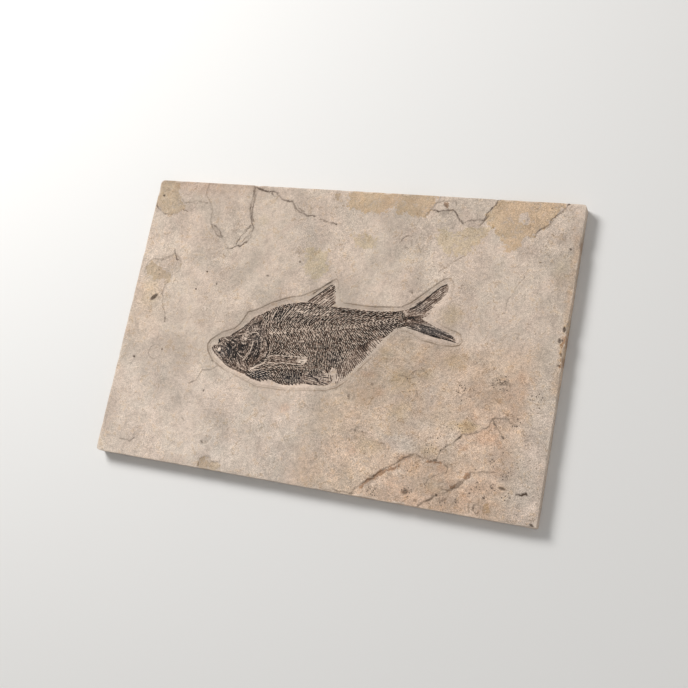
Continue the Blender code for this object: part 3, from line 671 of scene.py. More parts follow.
def rimDarkness(x, y, inside):
    # the lower side of the line catches the light, so its stain is stronger there
    form = troughForm
    change = form["bellyShare"] * smoothStep(10, -30, y + 0.3 * np.abs(x))
    for shift, *ellipse in rimPlaces:
        change = change + shift * inEllipse(x, y, *ellipse, 0.6, 1.2)
    rim = bell(inside - 0.15, form["rimHalfWidth"])
    inner = bell(inside - form["innerLine"], form["innerHalfWidth"])
    lines = np.maximum(rim * (1 + change), form["innerShare"] * inner * (1 + change))
    return form["rimDarkness"] * brokenUp(x, y, 0.72, 0.5, 7, 67) * lines


def faceRelief(x, y):
    # height of the stone's face about its level, and how dark its lines and spots are, painted shadow along
    # the steps of the flaked layers included
    swell, lumps, knobs, grain = [slabForm[name] for name in ("swell", "lumps", "knobs", "grain")]
    height = swell[0] * (layeredNoise(x, y, swell[1], 3) - 0.6)
    height = height + lumps[0] * layeredNoise(x, y, lumps[1], 5)
    height = height + knobs[0] * layeredNoise(x, y, knobs[1], 9, 2)
    height = height + grain[0] * layeredNoise(x, y, grain[1], 7, 2)
    dark = np.zeros(x.shape)
    rx, ry = ragged(x, y, 0.8)
    rx = rx + 0.3 * noise(x, y, 0.8, 57)
    ry = ry + 0.3 * noise(x, y, 0.8, 59)
    for depth, darkness, outline in ledges:
        inside = insideDistance(rx, ry, outline)
        slope = brokenUp(x, y, 0.4, 0.28, 9, 51)
        height = height - depth * smoothStep(-slope, slope, inside)
        # painted shadow: a dark line at the foot of each step, inside the flaked area
        stepShadow = darkness * brokenUp(x, y, 0.75, 0.6, 9, 53)
        dark = np.maximum(dark, stepShadow * bell(inside - 0.25, 0.42))
    # dark fill of the cracks, and painted shadow where a crack line follows a step
    for halfWidth, depth, darkness, path in cracks:
        line = brokenUp(x, y, 0.85, 0.5, 3.5, 61) * bell(lineDistance(rx, ry, path), halfWidth)
        height = height - depth * line
        dark = np.maximum(dark, darkness * line)
    for cx, cy, long, short, turn, darkness, rise in spots:
        c, s = cos(radians(turn)), sin(radians(turn))
        px, py = ragged(x - cx, y - cy, 0.35)
        blot = inEllipse(c * px + s * py, c * py - s * px, 0, 0, long, short, 0.65, 1.15)
        height = height + rise * blot
        dark = np.maximum(dark, darkness * blot)
    px, py = ringMark["place"]
    ring = bell(np.hypot(x - px, y - py) - ringMark["radius"], ringMark["halfWidth"])
    ring = ring * (0.6 - 0.4 * (x - px) / ringMark["radius"])  # its left side shows more
    height = height - ringMark["depth"] * ring
    dark = np.maximum(dark, ringMark["darkness"] * ring)
    depth, inside = troughDepth(x, y)
    height = height * (1 - 0.8 * smoothStep(0, 2, inside)) - depth
    return np.minimum(height, 0), dark, rimDarkness(x, y, inside), inside


def stoneTints(x, y):
    # how much of each tint lies at a place, 0 to 1
    shares = {name: np.zeros(x.shape) for name in tints}
    rx, ry = ragged(x, y, 1.3)
    for name, strength, softness, outline in stainAreas:
        share = strength * smoothStep(-softness, softness, insideDistance(rx, ry, outline))
        shares[name] = np.maximum(shares[name], share)
    for name, places in clouds.items():
        for strength, *ellipse in places:
            share = strength * inEllipse(rx, ry, *ellipse, 0.3, 1.2)
            if name == "pale":
                shares = {other: shares[other] * (1 - share) for other in shares}
            else:
                shares[name] = np.maximum(shares[name], share)
    return shares


def cutSlab(length, width, thick):
    # a block of coarse cells, its face and sides cut finer, finest along cracks and ledges
    cell = slabForm["coarseCell"]
    deselectAll()
    bpy.ops.mesh.primitive_grid_add(x_subdivisions=round(length / cell),
                                    y_subdivisions=round(width / cell), size=1)
    slab = bpy.context.object
    slab.name = "stoneSlab"
    setMode("EDIT")
    bpy.ops.transform.resize(value=(length * mm, width * mm, 1))
    extrudeUp(thick * mm)
    subdivide(slab, "polygons", readFaces(slab, "normal")[:, 2] > -0.5, slabForm["faceCuts"])
    # rows of faces drawn towards the edges, where the rounding needs them
    points = readVertices(slab)
    reach = slabForm["squeezeReach"]
    for axis, half in ((0, length / 2), (1, width / 2)):
        fromEdge = half - np.abs(points[:, axis])
        near = fromEdge < reach
        drawn = reach * (fromEdge[near] / reach) ** slabForm["edgeSqueeze"]
        points[near, axis] = np.sign(points[near, axis]) * (half - drawn)
    writeVertices(slab, points)
    for band in (slabForm["fineReach"], slabForm["finestReach"]):
        x, y = readFaces(slab, "center")[:, :2].T / mm
        onFace = readFaces(slab, "normal")[:, 2] > 0.5
        subdivide(slab, "polygons", onFace & (featureDistance(x, y) < band), 1)
    print("slab block cut:", len(slab.data.polygons), "faces")
    return slab


def roundCorners(x, y, halfLength, halfWidth):
    # the square grid is bent into the round of each corner
    for (cx, cy), radius in slabForm["cornerRadii"].items():
        u = (x * cx - (halfLength - radius)) / radius
        v = (y * cy - (halfWidth - radius)) / radius
        at = (u > 0) & (v > 0)
        u, v = u[at], v[at]
        x[at] = cx * (halfLength - radius + radius * u * np.sqrt(1 - v * v / 2))
        y[at] = cy * (halfWidth - radius + radius * v * np.sqrt(1 - u * u / 2))


def addSlab():
    form = slabForm
    low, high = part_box("slab")
    length, width, thick = [(b - a) / mm for a, b in zip(low, high)]
    slab = cutSlab(length, width, thick)
    x, y, z = readVertices(slab).T
    roundCorners(x, y, length / 2, width / 2)
    inward, outX, outY = slabEdge(x, y, length / 2, width / 2)
    onFace = z > thick - 0.01
    onSide = (inward < 0.01) & ~onFace
    underneath = z < 0.01
    relief, dark, rimDark, inTrough = faceRelief(x, y)

    # worn upper edge: the face and the side meet in a quarter round
    wear = form["arris"] + form["arrisWear"] * smoothStep(0, 1, layeredNoise(x, y, 7, 91))
    for px, py, half, extra in chips:
        near = np.hypot(x - px, y - py) + 0.6 * noise(x, y, 1.6, 95)
        wear = wear + extra * (1 - smoothStep(0.55, 1, near / half)) * brokenUp(x, y, 0.8, 0.4, 1.1, 97)
    turn = np.where(onFace, pi / 4 * (1 + np.clip(inward / wear, 0, 1)),
                    pi / 4 * (1 - np.clip((thick - z) / wear, 0, 1)))
    rounded = (onFace & (inward < wear)) | (~onFace & (thick - z < wear))
    setIn = np.where(rounded, wear * (1 - np.cos(turn)) - np.clip(inward, 0, None), 0)
    lowered = np.where(rounded, wear * (1 - np.sin(turn)) - np.where(onFace, 0, thick - z), 0)

    # lower edge: one short slope; the sides are sawn and the underside is slightly hollow
    slopeIn, slopeUp = form["lowerSlope"]
    wearBelow = form["arris"] + form["lowerWear"] * smoothStep(0, 1, layeredNoise(x, y, 8, 99))
    roundBelow = underneath & (inward < 0.01)
    setIn = np.where(roundBelow, wearBelow * slopeIn, setIn)
    raised = np.where(roundBelow, wearBelow * slopeUp, 0)
    sawn = form["sideRoughness"] * (0.5 + 0.5 * layeredNoise(x + 3 * z, y + 5 * z, 5, 101))
    setIn = setIn + np.where(onSide & ~roundBelow, np.clip(sawn, 0, None), 0)
    x = x - outX * setIn
    y = y - outY * setIn
    z = z + np.where(onFace, relief * smoothStep(0, 1.5, inward), 0) - lowered + raised
    depth, cell = form["hollow"]
    hollow = depth * (0.5 + 0.5 * layeredNoise(x, y, cell, 103))
    z = np.where(underneath & (inward > 3), np.clip(hollow, 0, None) * smoothStep(3, 9, inward), z)
    writeVertices(slab, np.stack((x, y, z), axis=1))

    # what the stone's material reads; the trough was scraped clean of most stains
    scraped = smoothStep(0.4, 1.4, inTrough)
    for name, share in stoneTints(x, y).items():
        setAttribute(slab, name, share * (1 - 0.6 * scraped))
    specks = np.full(x.shape, 0.2)
    for cx, cy, radius, strength in speckFields:
        near = np.hypot(x - cx, y - cy) / radius
        specks = np.maximum(specks, strength * (1 - smoothStep(0.4, 1.2, near)))
    specks = specks + 0.2 * smoothStep(-5, 20, x) * smoothStep(5, -15, y)
    grainy = 0.6 + 0.35 * smoothStep(-5, 25, x) * smoothStep(12, -15, y) + 0.15 * smoothStep(0, 60, x)
    grainy = np.clip(grainy + 0.25 * noise(x, y, 24, 107), 0, 1) * (1 - 0.5 * scraped)
    # the cleaned margin: paler scraped stone and painted light brighten it along the belly, the side that
    # faces the light; along the back it lies in shade and is not brightened
    setAttribute(slab, "margin", scraped * smoothStep(6, -14, y - 0.2 * x))
    setAttribute(slab, "grainy", grainy)
    # dark lines and grains, with painted shadow along the steps of the flaked layers
    setAttribute(slab, "dark", np.where(onFace, dark, 0))
    setAttribute(slab, "rim", np.where(onFace, rimDark, 0))
    setAttribute(slab, "specks", np.where(onFace, specks, 0.1))
    setAttribute(slab, "worn", np.where(rounded, 1, 0) + np.where(onSide, 0.35, 0))
    smoothShading(slab, form["smoothBelow"])
    return slab


# Materials

def dress(piece, node, material):
    piece.data.materials.clear()
    piece.data.materials.append(material)
    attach(piece, "root")
    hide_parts(node)


def newMaterial(name):
    material = bpy.data.materials.new(name)
    material.use_nodes = True
    tree = material.node_tree
    return material, tree, tree.nodes["Principled BSDF"]


def plug(tree, socket, value):
    # a number or colour is set on the socket, anything else is linked to it
    if isinstance(value, bpy.types.NodeSocket):
        tree.links.new(value, socket)
    elif socket.type == "RGBA" and len(value) == 3:
        socket.default_value = (*value, 1)
    else:
        socket.default_value = value


def noiseTexture(tree, place, size, detail, rough, warp):
    # lumps about size millimetres across
    texture = tree.nodes.new("ShaderNodeTexNoise")
    plug(tree, texture.inputs["Vector"], place)
    texture.inputs["Scale"].default_value = 1 / (size * mm)
    texture.inputs["Detail"].default_value = detail
    texture.inputs["Roughness"].default_value = rough
    texture.inputs["Distortion"].default_value = warp
    return texture.outputs["Fac"]


def cellTexture(tree, place, size):
    # how far the nearest of some scattered points is, and a number of that point's own
    texture = tree.nodes.new("ShaderNodeTexVoronoi")
    plug(tree, texture.inputs["Vector"], place)
    texture.inputs["Scale"].default_value = 1 / (size * mm)
    split = tree.nodes.new("ShaderNodeSeparateColor")
    plug(tree, split.inputs["Color"], texture.outputs["Color"])
    return texture.outputs["Distance"], split.outputs["Red"]


def rescale(tree, value, fromLow, fromHigh, toLow, toHigh, smooth=False):
    node = tree.nodes.new("ShaderNodeMapRange")
    if smooth:
        node.interpolation_type = "SMOOTHSTEP"
    for name, number in zip(("Value", "From Min", "From Max", "To Min", "To Max"),
                            (value, fromLow, fromHigh, toLow, toHigh)):
        plug(tree, node.inputs[name], number)
    return node.outputs["Result"]


def calculate(tree, operation, a, b=0.0):
    node = tree.nodes.new("ShaderNodeMath")
    node.operation = operation
    plug(tree, node.inputs[0], a)
    plug(tree, node.inputs[1], b)
    return node.outputs[0]


def blendColours(tree, share, a, b, how="MIX"):
    node = tree.nodes.new("ShaderNodeMix")
    node.data_type = "RGBA"
    node.blend_type = how
    plug(tree, node.inputs["Factor"], share)
    plug(tree, node.inputs["A"], a)
    plug(tree, node.inputs["B"], b)
    return node.outputs["Result"]


def multiplyColour(tree, share, colour, factor):
    return blendColours(tree, share, colour, factor, "MULTIPLY")


def readAttribute(tree, name):
    node = tree.nodes.new("ShaderNodeAttribute")
    node.attribute_name = name
    return node.outputs["Fac"]


def objectPlace(tree):
    return tree.nodes.new("ShaderNodeTexCoord").outputs["Object"]


def bumpFrom(tree, height, depth, normal=None):
    bump = tree.nodes.new("ShaderNodeBump")
    bump.inputs["Distance"].default_value = depth * mm
    plug(tree, bump.inputs["Height"], height)
    if normal:
        plug(tree, bump.inputs["Normal"], normal)
    return bump.outputs["Normal"]


stoneFinish = {
    "pale": (0.675, 0.555, 0.463),
    "shade": (0.50, 0.41, 0.341),
    "rosy": (1.02, 0.993, 0.97),
    "olive": (0.99, 1.0, 0.98),
    "line": (0.085, 0.058, 0.04),
    "rim": (0.20, 0.138, 0.09),
    "speck": (0.17, 0.13, 0.10),
    "fresh": (0.74, 0.625, 0.52),
    # painted light with paler scraped stone: brightening of the cleaned margin along the belly
    "margin": (1.06, 1.05, 1.05),
    "roughness": (0.72, 0.95),
    "shine": 0.3,
    "mottleDepth": 0.6,
    "grainDepth": 0.14,
    # brightness from and to: everywhere, and on grainy stone
    "mottling": (("mottled", 0.875, 1.105), ("flecked", 0.91, 1.07)),
    "graining": (("flecked", 0.93, 1.07), ("grain", 0.86, 1.15), ("fine", 0.78, 1.22)),
    # flaked layers: width, distortion, and the level of the noise at which one ends
    "layers": ((14, 0.7, 0.5), (6.5, 1.0, 0.47)),
    "layerColours": (1.02, 0.955),
    "dotCell": 1.35,  # one dark grain at most in each
    "dotPower": 3,  # crowds the grains where the specks attribute is high
}

# its noises: width of a lump, detail, roughness, distortion
stoneNoises = {
    "cloudy": (22, 4, 0.55, 0.4),
    "hue": (15, 2, 0.5, 0.6),
    "dapple": (7, 2, 0.5, 0.8),
    "mottled": (5.0, 4, 0.62, 0.8),
    "flecked": (2.1, 3, 0.6, 0.5),
    "grain": (1.0, 2, 0.7, 0),
    "fine": (0.5, 1, 0.5, 0),
    "specky": (1.0, 2, 0.6, 0.3),
}

# values from and to, and the shares of an effect that they stand for
stoneRanges = {
    "shade": (0.35, 0.68, 0, 0.9),
    "hue": (0.36, 0.64, 0, 1),
    "hairline": (0.003, 0.012, 0.6, 0),
    "hairlineGaps": (0.46, 0.56, 0, 1),
    "brokenEdge": (0.85, 1.15, -0.4, 0.4),
    "sharpStain": (0.34, 0.56, 0, 0.9),
    "softStain": (0.3, 0.7, 0.55, 1.3),
    "worn": (0.35, 0.6, 0.1, 0.7),
    "speckLimit": (0, 1, 0.73, 0.6),
    "speck": (0, 0.05, 0, 0.7),
    "dotRadius": (0.36, 0.24, 0, 1),
    "dotChosen": (0, 0.1, 0, 0.9),
    "paleSpeck": (0.33, 0.27, 0, 0.55),
    "line": (0.3, 0.7, 0.7, 1.1),
}


def addLayers(tree, place, colour, grainy, mottled):
    # thin layers that have flaked away, each ending at a hairline that comes and goes
    gaps = stoneRanges["hairlineGaps"]
    for size, warp, level in stoneFinish["layers"]:
        layer = noiseTexture(tree, place, size, 5, 0.62, warp)
        lower = rescale(tree, layer, level - 0.012, level + 0.012, *stoneFinish["layerColours"])
        colour = multiplyColour(tree, grainy, colour, lower)
        offLine = calculate(tree, "ABSOLUTE", calculate(tree, "SUBTRACT", layer, level))
        hairline = rescale(tree, offLine, *stoneRanges["hairline"])
        hairline = calculate(tree, "MULTIPLY", hairline, rescale(tree, mottled, *gaps))
        hairline = calculate(tree, "MULTIPLY", hairline, grainy)
        colour = blendColours(tree, hairline, colour, stoneFinish["rim"])
    return colour


def addStains(tree, colour, dapple, broken):
    # the sharp ones end along a ragged line, the soft ones are dappled
    brokenEdge = rescale(tree, broken, *stoneRanges["brokenEdge"])
    patchy = rescale(tree, dapple, *stoneRanges["softStain"])
    for name, (tint, sharp) in tints.items():
        share = readAttribute(tree, name)
        if sharp:
            share = calculate(tree, "ADD", share, brokenEdge)
            share = rescale(tree, share, *stoneRanges["sharpStain"], True)
        else:
            share = calculate(tree, "MULTIPLY", share, patchy)
        colour = blendColours(tree, share, colour, multiplyColour(tree, 1.0, colour, tint))
    return colour


def darkGrains(tree, place, specky):
    # share of small dark grains, crowded where the specks attribute says so
    crowd = readAttribute(tree, "specks")
    limit = rescale(tree, crowd, *stoneRanges["speckLimit"])
    isSpeck = rescale(tree, calculate(tree, "SUBTRACT", specky, limit), *stoneRanges["speck"], True)
    fromDot, dotNumber = cellTexture(tree, place, stoneFinish["dotCell"])
    crowd = calculate(tree, "POWER", crowd, stoneFinish["dotPower"])
    chosen = rescale(tree, calculate(tree, "SUBTRACT", crowd, dotNumber), *stoneRanges["dotChosen"])
    isDot = calculate(tree, "MULTIPLY", rescale(tree, fromDot, *stoneRanges["dotRadius"]), chosen)
    return calculate(tree, "MAXIMUM", isSpeck, isDot)


def stoneMaterial():
    material, tree, shader = newMaterial("limestone")
    place = objectPlace(tree)
    noises = {name: noiseTexture(tree, place, *lumps) for name, lumps in stoneNoises.items()}
    mottled, flecked, grain = [noises[name] for name in ("mottled", "flecked", "grain")]
    colour = blendColours(tree, rescale(tree, noises["cloudy"], *stoneRanges["shade"], True),
                          stoneFinish["pale"], stoneFinish["shade"])
    hueTint = blendColours(tree, rescale(tree, noises["hue"], *stoneRanges["hue"]),
                           stoneFinish["rosy"], stoneFinish["olive"])
    colour = multiplyColour(tree, 1.0, colour, hueTint)
    grainy = readAttribute(tree, "grainy")
    for share, steps in ((1.0, stoneFinish["mottling"]), (grainy, stoneFinish["graining"])):
        for name, low, high in steps:
            brightness = rescale(tree, noises[name], 0.33, 0.67, low, high)
            colour = multiplyColour(tree, share, colour, brightness)
    colour = addLayers(tree, place, colour, grainy, mottled)
    colour = addStains(tree, colour, noises["dapple"], calculate(tree, "ADD", flecked, mottled))
    # painted light with paler scraped stone: the cleaned margin is brightened along the belly
    colour = multiplyColour(tree, readAttribute(tree, "margin"), colour, stoneFinish["margin"])
    worn = calculate(tree, "MULTIPLY", readAttribute(tree, "worn"),
                     rescale(tree, mottled, *stoneRanges["worn"]))
    colour = blendColours(tree, worn, colour, stoneFinish["fresh"])
    isSpeck = darkGrains(tree, place, noises["specky"])
    colour = blendColours(tree, isSpeck, colour, stoneFinish["speck"])
    paleSpeck = rescale(tree, noises["specky"], *stoneRanges["paleSpeck"], True)
    colour = blendColours(tree, paleSpeck, colour, stoneFinish["fresh"])
    colour = blendColours(tree, readAttribute(tree, "rim"), colour, stoneFinish["rim"])
    # dark lines and grains, with painted shadow along the steps
    lineShare = calculate(tree, "MULTIPLY", readAttribute(tree, "dark"),
                          rescale(tree, grain, *stoneRanges["line"]))
    colour = blendColours(tree, lineShare, colour, stoneFinish["line"])
    plug(tree, shader.inputs["Base Color"], colour)
    plug(tree, shader.inputs["Roughness"], rescale(tree, mottled, 0.3, 0.7, *stoneFinish["roughness"]))
    plug(tree, shader.inputs["Specular IOR Level"], stoneFinish["shine"])
    pitted = calculate(tree, "SUBTRACT", calculate(tree, "ADD", grain, flecked), isSpeck)
    lumpy = bumpFrom(tree, mottled, stoneFinish["mottleDepth"])
    rough = bumpFrom(tree, pitted, stoneFinish["grainDepth"], lumpy)
    finest = bumpFrom(tree, noises["fine"], stoneFinish["grainDepth"] / 2, rough)
    plug(tree, shader.inputs["Normal"], finest)
    return material


slab = addSlab()
dress(slab, "slab", stoneMaterial())
print("slab made:", len(slab.data.vertices), "points")


# Fish

backbone = ((-38, -4.6), (-30, -2.8), (-10, 0.6), (10, 4.2), (30, 9.4), (46, 13.8))
back = ((-45, 7.2), (-42, 9.5), (-36, 12.5), (-32, 14.5), (-25, 16.2), (-17, 17.8), (0, 16.8),
        (12, 16.6), (27, 16.4), (40, 18), (46, 20.2))
belly = ((-47.5, -29.6), (-42, -31.7), (-37, -32.4), (-31, -30.6), (-26, -32), (-22, -32.6),
         (-16, -31.8), (-11.8, -30.8), (-10.6, -25.6), (0, -23.6), (5, -22.8), (9, -20),
         (13, -15), (17, -9.5), (22, -5), (28, -0.5), (34, 1.4), (38, 4.6), (41, 7), (46, 8.2))
gillEdge = ((-47.5, -29.6), (-45.5, -26.5), (-41, -23), (-37, -20), (-35, -16), (-35.5, -10),
            (-38, -4), (-41, 2), (-45, 7.2))
forehead = ((-69, -12.6), (-68.6, -10.2), (-65, -9), (-61.5, -7.5), (-59, -5.5), (-54.5, -2),
            (-52, 1), (-49.5, 4.5), (-47.5, 6.2), (-45, 7.2))
throat = ((-71.2, -14.4), (-72.7, -16), (-70, -19), (-66, -22), (-62, -24.8), (-57.5, -27.2),
          (-52, -28.7), (-47.5, -29.6))
mouth = ((-71.2, -14.4), (-68.6, -14.2), (-67.6, -13.4), (-69, -12.6))
mouthGape = ((-70, -13.9), (-66.5, -13.6), (-63.5, -14.6))
fishOutline = forehead + back[1:] + belly[::-1] + throat[-2::-1]

# how the bones run: place, then degrees from +X
grainMarks = (
    (-42, 4, 82), (-38, 8, 84), (-36, 3, 84), (-33, 9, 80), (-31, 6, 72), (-28, 8, 60), (-26, 12, 58),
    (-22, 9, 48), (-16, 12, 45), (-10, 9, 43), (-4, 14, 46), (0, 10, 44), (10, 11, 42), (20, 12, 40),
    (28, 13, 36), (38, 15, 25), (44, 16, 18), (-28, 16, 20), (-20, 17, 16), (8, 16, 18), (20, 15.5, 14),
    (32, 16.5, 12), (-36, -2, -30), (-30, -2, -35), (-22, -1, -36), (-16, -2, -38), (-8, 1, -42),
    (-4, 2, -54), (2, 2.5, -54), (8, 3, -46), (14, 3.5, -40), (20, 6, -38), (28, 8, -34), (36, 10, -24),
    (44, 12, -12), (-34, -8, -54), (-25, -8, -56), (-20, -6, -57), (-14, -6, -60), (-10, -9, -63),
    (-5, -8, -72), (0, -9, -77), (-4, -14, -76), (2, -14, -75), (6, -6, -64), (8, -13, -65), (13, -5, -54),
    (14, -12, -53), (20, -9, -43), (22, -3, -40), (26, -2, -36), (30, 1, -38), (34, 4, -42), (-20, -12, -42),
    (-28, -12, 62), (-14, -13, -32), (-22, -24, -50), (-26, -28, -48), (-18, -27, -84), (-12, -28, -80),
    (-6, -21, -82), (1, -20, -80), (-40, -28, -14), (-34, -30, -18), (-36, -25, 30), (-30, -23, 10),
    (-30, -18, -3), (-20, -18, -5), (-12, -18, 14), (8, -22, -80), (13, -22, -66), (14, -18, -60),
    (20, -17, -50), (23, -12, -38), (29, -6, -40), (-5, -27.5, -6), (3, -26, 8), (3, -29, -12), (48, 19, 34),
    (54, 24, 44), (60, 30, 46), (48, 12, -8), (55, 10, -14), (62, 9, -13), (70, 7, -15), (-6, 23, 42),
    (-2, 27, 40), (-12, 20, 46), (-70, -17, -38), (-65, -21, -37), (-60, -24, -36), (-54, -26.5, -24),
    (-49, -28, -12), (-66, -17, -34), (-62, -18, -46), (-68, -11, 68), (-64, -10, 20), (-62, -13, -24),
    (-58, -11, -14), (-57, -16, -40), (-56, -21, -50), (-52, -21, -62), (-60, -7, 36), (-56, -5, 18),
    (-54, -1, 52), (-50, 1, 60), (-46, 3, 66), (-44, -1, 84), (-48, -4, 4), (-51, -8.6, 4), (-47, -13, 88),
    (-51.5, -18, 0), (-56, -13, 90), (-44, -12, 86), (-44, -19, 78), (-41, -9, -62), (-40, -16, 66),
    (-41, -22, 34), (-37, -14, 84), (-46, -24, -66),
)

# darker (below zero) and paler (above) places: shift, place, radii
fishTones = (
    (0.5, -29.4, -31.6, 2.4, 1.2), (-0.14, -38, -28.6, 5, 2.2), (0.35, -35.5, -22.6, 2.2, 1),
    (0.26, 65.4, 26, 1.6, 6), (0.3, 58.5, 18.2, 3, 2), (0.14, 60, 27, 5, 6), (-0.12, 62, 8, 12, 3),
    (0.12, 66, 10.6, 8, 1), (-0.16, 56, 27.5, 7, 2.2), (0.3, 13, -27, 3, 2), (0.1, 24, -13, 4, 2.6),
    (-0.1, -12, 6, 22, 5), (-0.06, 20, 9, 20, 7), (-0.2, -52, -16, 14, 10), (-0.1, 20, -4, 8, 7),
    (0.26, -15, 12, 9, 3.4), (0.08, -23, 12, 4, 3), (0.12, -6, 17.6, 5, 3), (0.26, -3, 14, 4, 3),
    (0.1, -18, 4, 8, 3), (0.3, 7.4, -21.2, 2.4, 2.8), (0.2, -34, -2, 4, 2), (0.25, -31, -22.5, 4, 2),
    (0.3, -43.5, -26.5, 3, 1.6), (0.3, 22, 1.6, 3, 1.5), (0.22, 17, 6.5, 4, 1.6), (0.25, 10, 6, 3, 1.4),
    (0.12, -12, 2, 5, 1.5), (0.2, -28.5, -31.3, 3.5, 1.4), (0.15, -24, -18, 9, 2.2), (0.1, -22, -22, 8, 2),
    (0.6, -66.4, -13.3, 2.3, 0.9), (0.36, -52, -8.2, 2.4, 1.8), (0.28, -37, 8, 1.1, 3.5),
    (0.2, -46, -1, 3, 2), (-0.06, -30, 2, 5, 3), (-0.1, -33, 9, 4.5, 5), (-0.14, -28, 15, 4, 1.6),
    (-0.32, -21, 17, 6, 1.3), (-0.12, -30, -7, 5, 4), (-0.1, -28, -12, 3, 3), (-0.2, -38, -29, 7.5, 3),
    (-0.15, -17, -28.5, 7, 3), (-0.13, 2, -18, 7, 4), (-0.1, -4, -22, 4, 3), (-0.1, 10, -16, 4, 3),
    (-0.16, 8, -8, 5, 4), (-0.14, 24, 14, 20, 2.4), (-0.1, 38, 9, 8, 4.5), (-0.2, 36, 17, 7, 2),
    (-0.1, 23, -4, 4, 4), (-0.22, 47, 9.5, 5, 2.4), (-0.4, 48, 15, 3, 1.2), (-0.2, -60, -17, 8, 6),
    (-0.2, -68, -18.6, 4, 2.4), (-0.2, -60, -24.6, 5, 2.4), (-0.22, -42.5, -12, 3, 8),
    (-0.2, -47, -28, 4, 1.8), (-0.14, -45, 1, 6, 5), (-0.1, -24, -3, 4, 2), (-0.14, 6, 14, 6, 2),
    (-0.2, -52, -13.4, 2.6, 2.6), (-0.06, -20, -9, 9, 4), (-0.05, 0, -8, 8, 5), (-0.07, 26, 6, 7, 4),
    (-0.07, -14, -12, 22, 7), (-0.2, -22, -26, 16, 5), (0.12, 3, -27, 4, 2.4), (0.16, 11, -26, 3, 3),
    (0.06, 20, -17, 4, 4), (0.08, 29, -6, 3, 5),
)

# bluish places, as above
coolPlaces = (
    (0.4, -57, -15, 12, 9), (0.4, -46, -4, 8, 8), (1, -37, -29, 9, 3.4), (0.7, -17, -28, 8, 4),
    (0.8, 62, 9, 16, 4), (0.5, -33, 8, 5, 5), (0.6, -64, -18, 6, 4), (0.5, -43, -13, 4, 7),
    (0.5, -2, -25, 6, 4), (0.5, 8, -14, 6, 5), (0.4, 36, 8, 8, 5), (0.5, 52, 22, 4, 4), (0.3, -20, 8, 14, 5),
)

# where the bone has flaked off: place, radii
barePlaces = (
    (7.4, -21.2, 1.3, 1.8), (-12, -17.6, 2.2, 1.2), (-29.4, -31.6, 2.2, 1), (-66.3, -13.4, 2, 0.8),
    (55.5, 17.2, 3, 1),
)

crustForm = {
    "underside": 6.92,
    "edgeLevel": 7.2,
    "dome": (0.1, 0.12),  # rise within the first 2.5 mm, and then to 12 mm in
    "skullRise": 0.2,
    "gillGroove": (0.12, 0.7),  # depth, half width
    "mouthGroove": (0.22, 0.8),
    # uneven edges: size of the bends and how far they go, for two sizes
    "edgeBends": ((1.1, 0.3), (0.5, 0.22)),
    # grain: width and half length of its streaks, and its share, for two sizes
    "streaks": ((0.62, 1.8, 0.7), (0.34, 0.9, 0.5)),
    "grainRise": 0.055,
    "smoothBelow": 60,
}

eyeForm = {
    "place": (-51.5, -13.2),
    "radius": 4.1,
    "rim": (0.14, 1.0),  # height, half width
    "socket": 0.2,
}


def alongPath(path, share):
    # points at the given shares of a path's length
    points = np.array(path, float)
    steps = np.hypot(*np.diff(points, axis=0).T)
    reached = np.concatenate(([0], np.cumsum(steps)))
    at = np.asarray(share, float) * reached[-1]
    return np.stack((np.interp(at, reached, points[:, 0]), np.interp(at, reached, points[:, 1])), -1)


# values worked out once on a half-millimetre lattice over the fish, and read between its points
latticeCorner = (-80, -40)
latticeStep = 0.5
latticeX, latticeY = np.meshgrid(np.arange(latticeCorner[0], 84.5, latticeStep),
                                 np.arange(latticeCorner[1], 44.5, latticeStep), indexing="ij")


def readLattice(lattice, x, y):
    gx = np.clip((x - latticeCorner[0]) / latticeStep, 0, lattice.shape[0] - 1.001)
    gy = np.clip((y - latticeCorner[1]) / latticeStep, 0, lattice.shape[1] - 1.001)
    ix, iy = np.floor(gx).astype(int), np.floor(gy).astype(int)
    return mixCorners(lattice, ix, iy, ix + 1, iy + 1, gx - ix, gy - iy)


def readOne(lattice, x, y):
    # the same for a single place, without numpy's overhead
    gx = min(max((x - latticeCorner[0]) / latticeStep, 0), lattice.shape[0] - 1.001)
    gy = min(max((y - latticeCorner[1]) / latticeStep, 0), lattice.shape[1] - 1.001)
    ix, iy = int(gx), int(gy)
    return mixCorners(lattice, ix, iy, ix + 1, iy + 1, gx - ix, gy - iy)


def grainLattice():
    # doubled angles, so that a bone's two ends count as the same direction
    along = np.zeros(latticeX.shape)
    across = np.zeros(latticeX.shape)
    for mx, my, degrees in grainMarks:
        weight = 1 / ((latticeX - mx) ** 2 + (latticeY - my) ** 2 + 1.5) ** 1.5
        along += weight * cos(2 * radians(degrees))
        across += weight * sin(2 * radians(degrees))
    return along, across


grainAlong, grainAcross = grainLattice()


def grainDirection(x, y):
    angle = np.arctan2(readLattice(grainAcross, x, y), readLattice(grainAlong, x, y)) / 2
    return np.cos(angle), np.sin(angle)


def oneDirection(x, y):
    angle = atan2(readOne(grainAcross, x, y), readOne(grainAlong, x, y)) / 2
    return cos(angle), sin(angle)


def brushed(x, y, cell, reach, seed):
    # random field drawn out along the grain, about -1 to 1
    total = noise(x, y, cell, seed)
    steps = 6
    for way in (1, -1):
        px, py = x, y
        dx, dy = grainDirection(px, py)
        dx, dy = way * dx, way * dy
        for step in range(steps):
            px, py = px + dx * reach / steps, py + dy * reach / steps
            total = total + noise(px, py, cell, seed)
            nx, ny = grainDirection(px, py)
            flip = np.where(nx * dx + ny * dy < 0, -1, 1)
            dx, dy = nx * flip, ny * flip
    return total / (2.2 * total.std())


def sumOfPlaces(x, y, places):
    total = np.zeros(np.shape(x))
    for shift, *ellipse in places:
        total = total + shift * inEllipse(x, y, *ellipse, 0.45, 1.25)
    return total


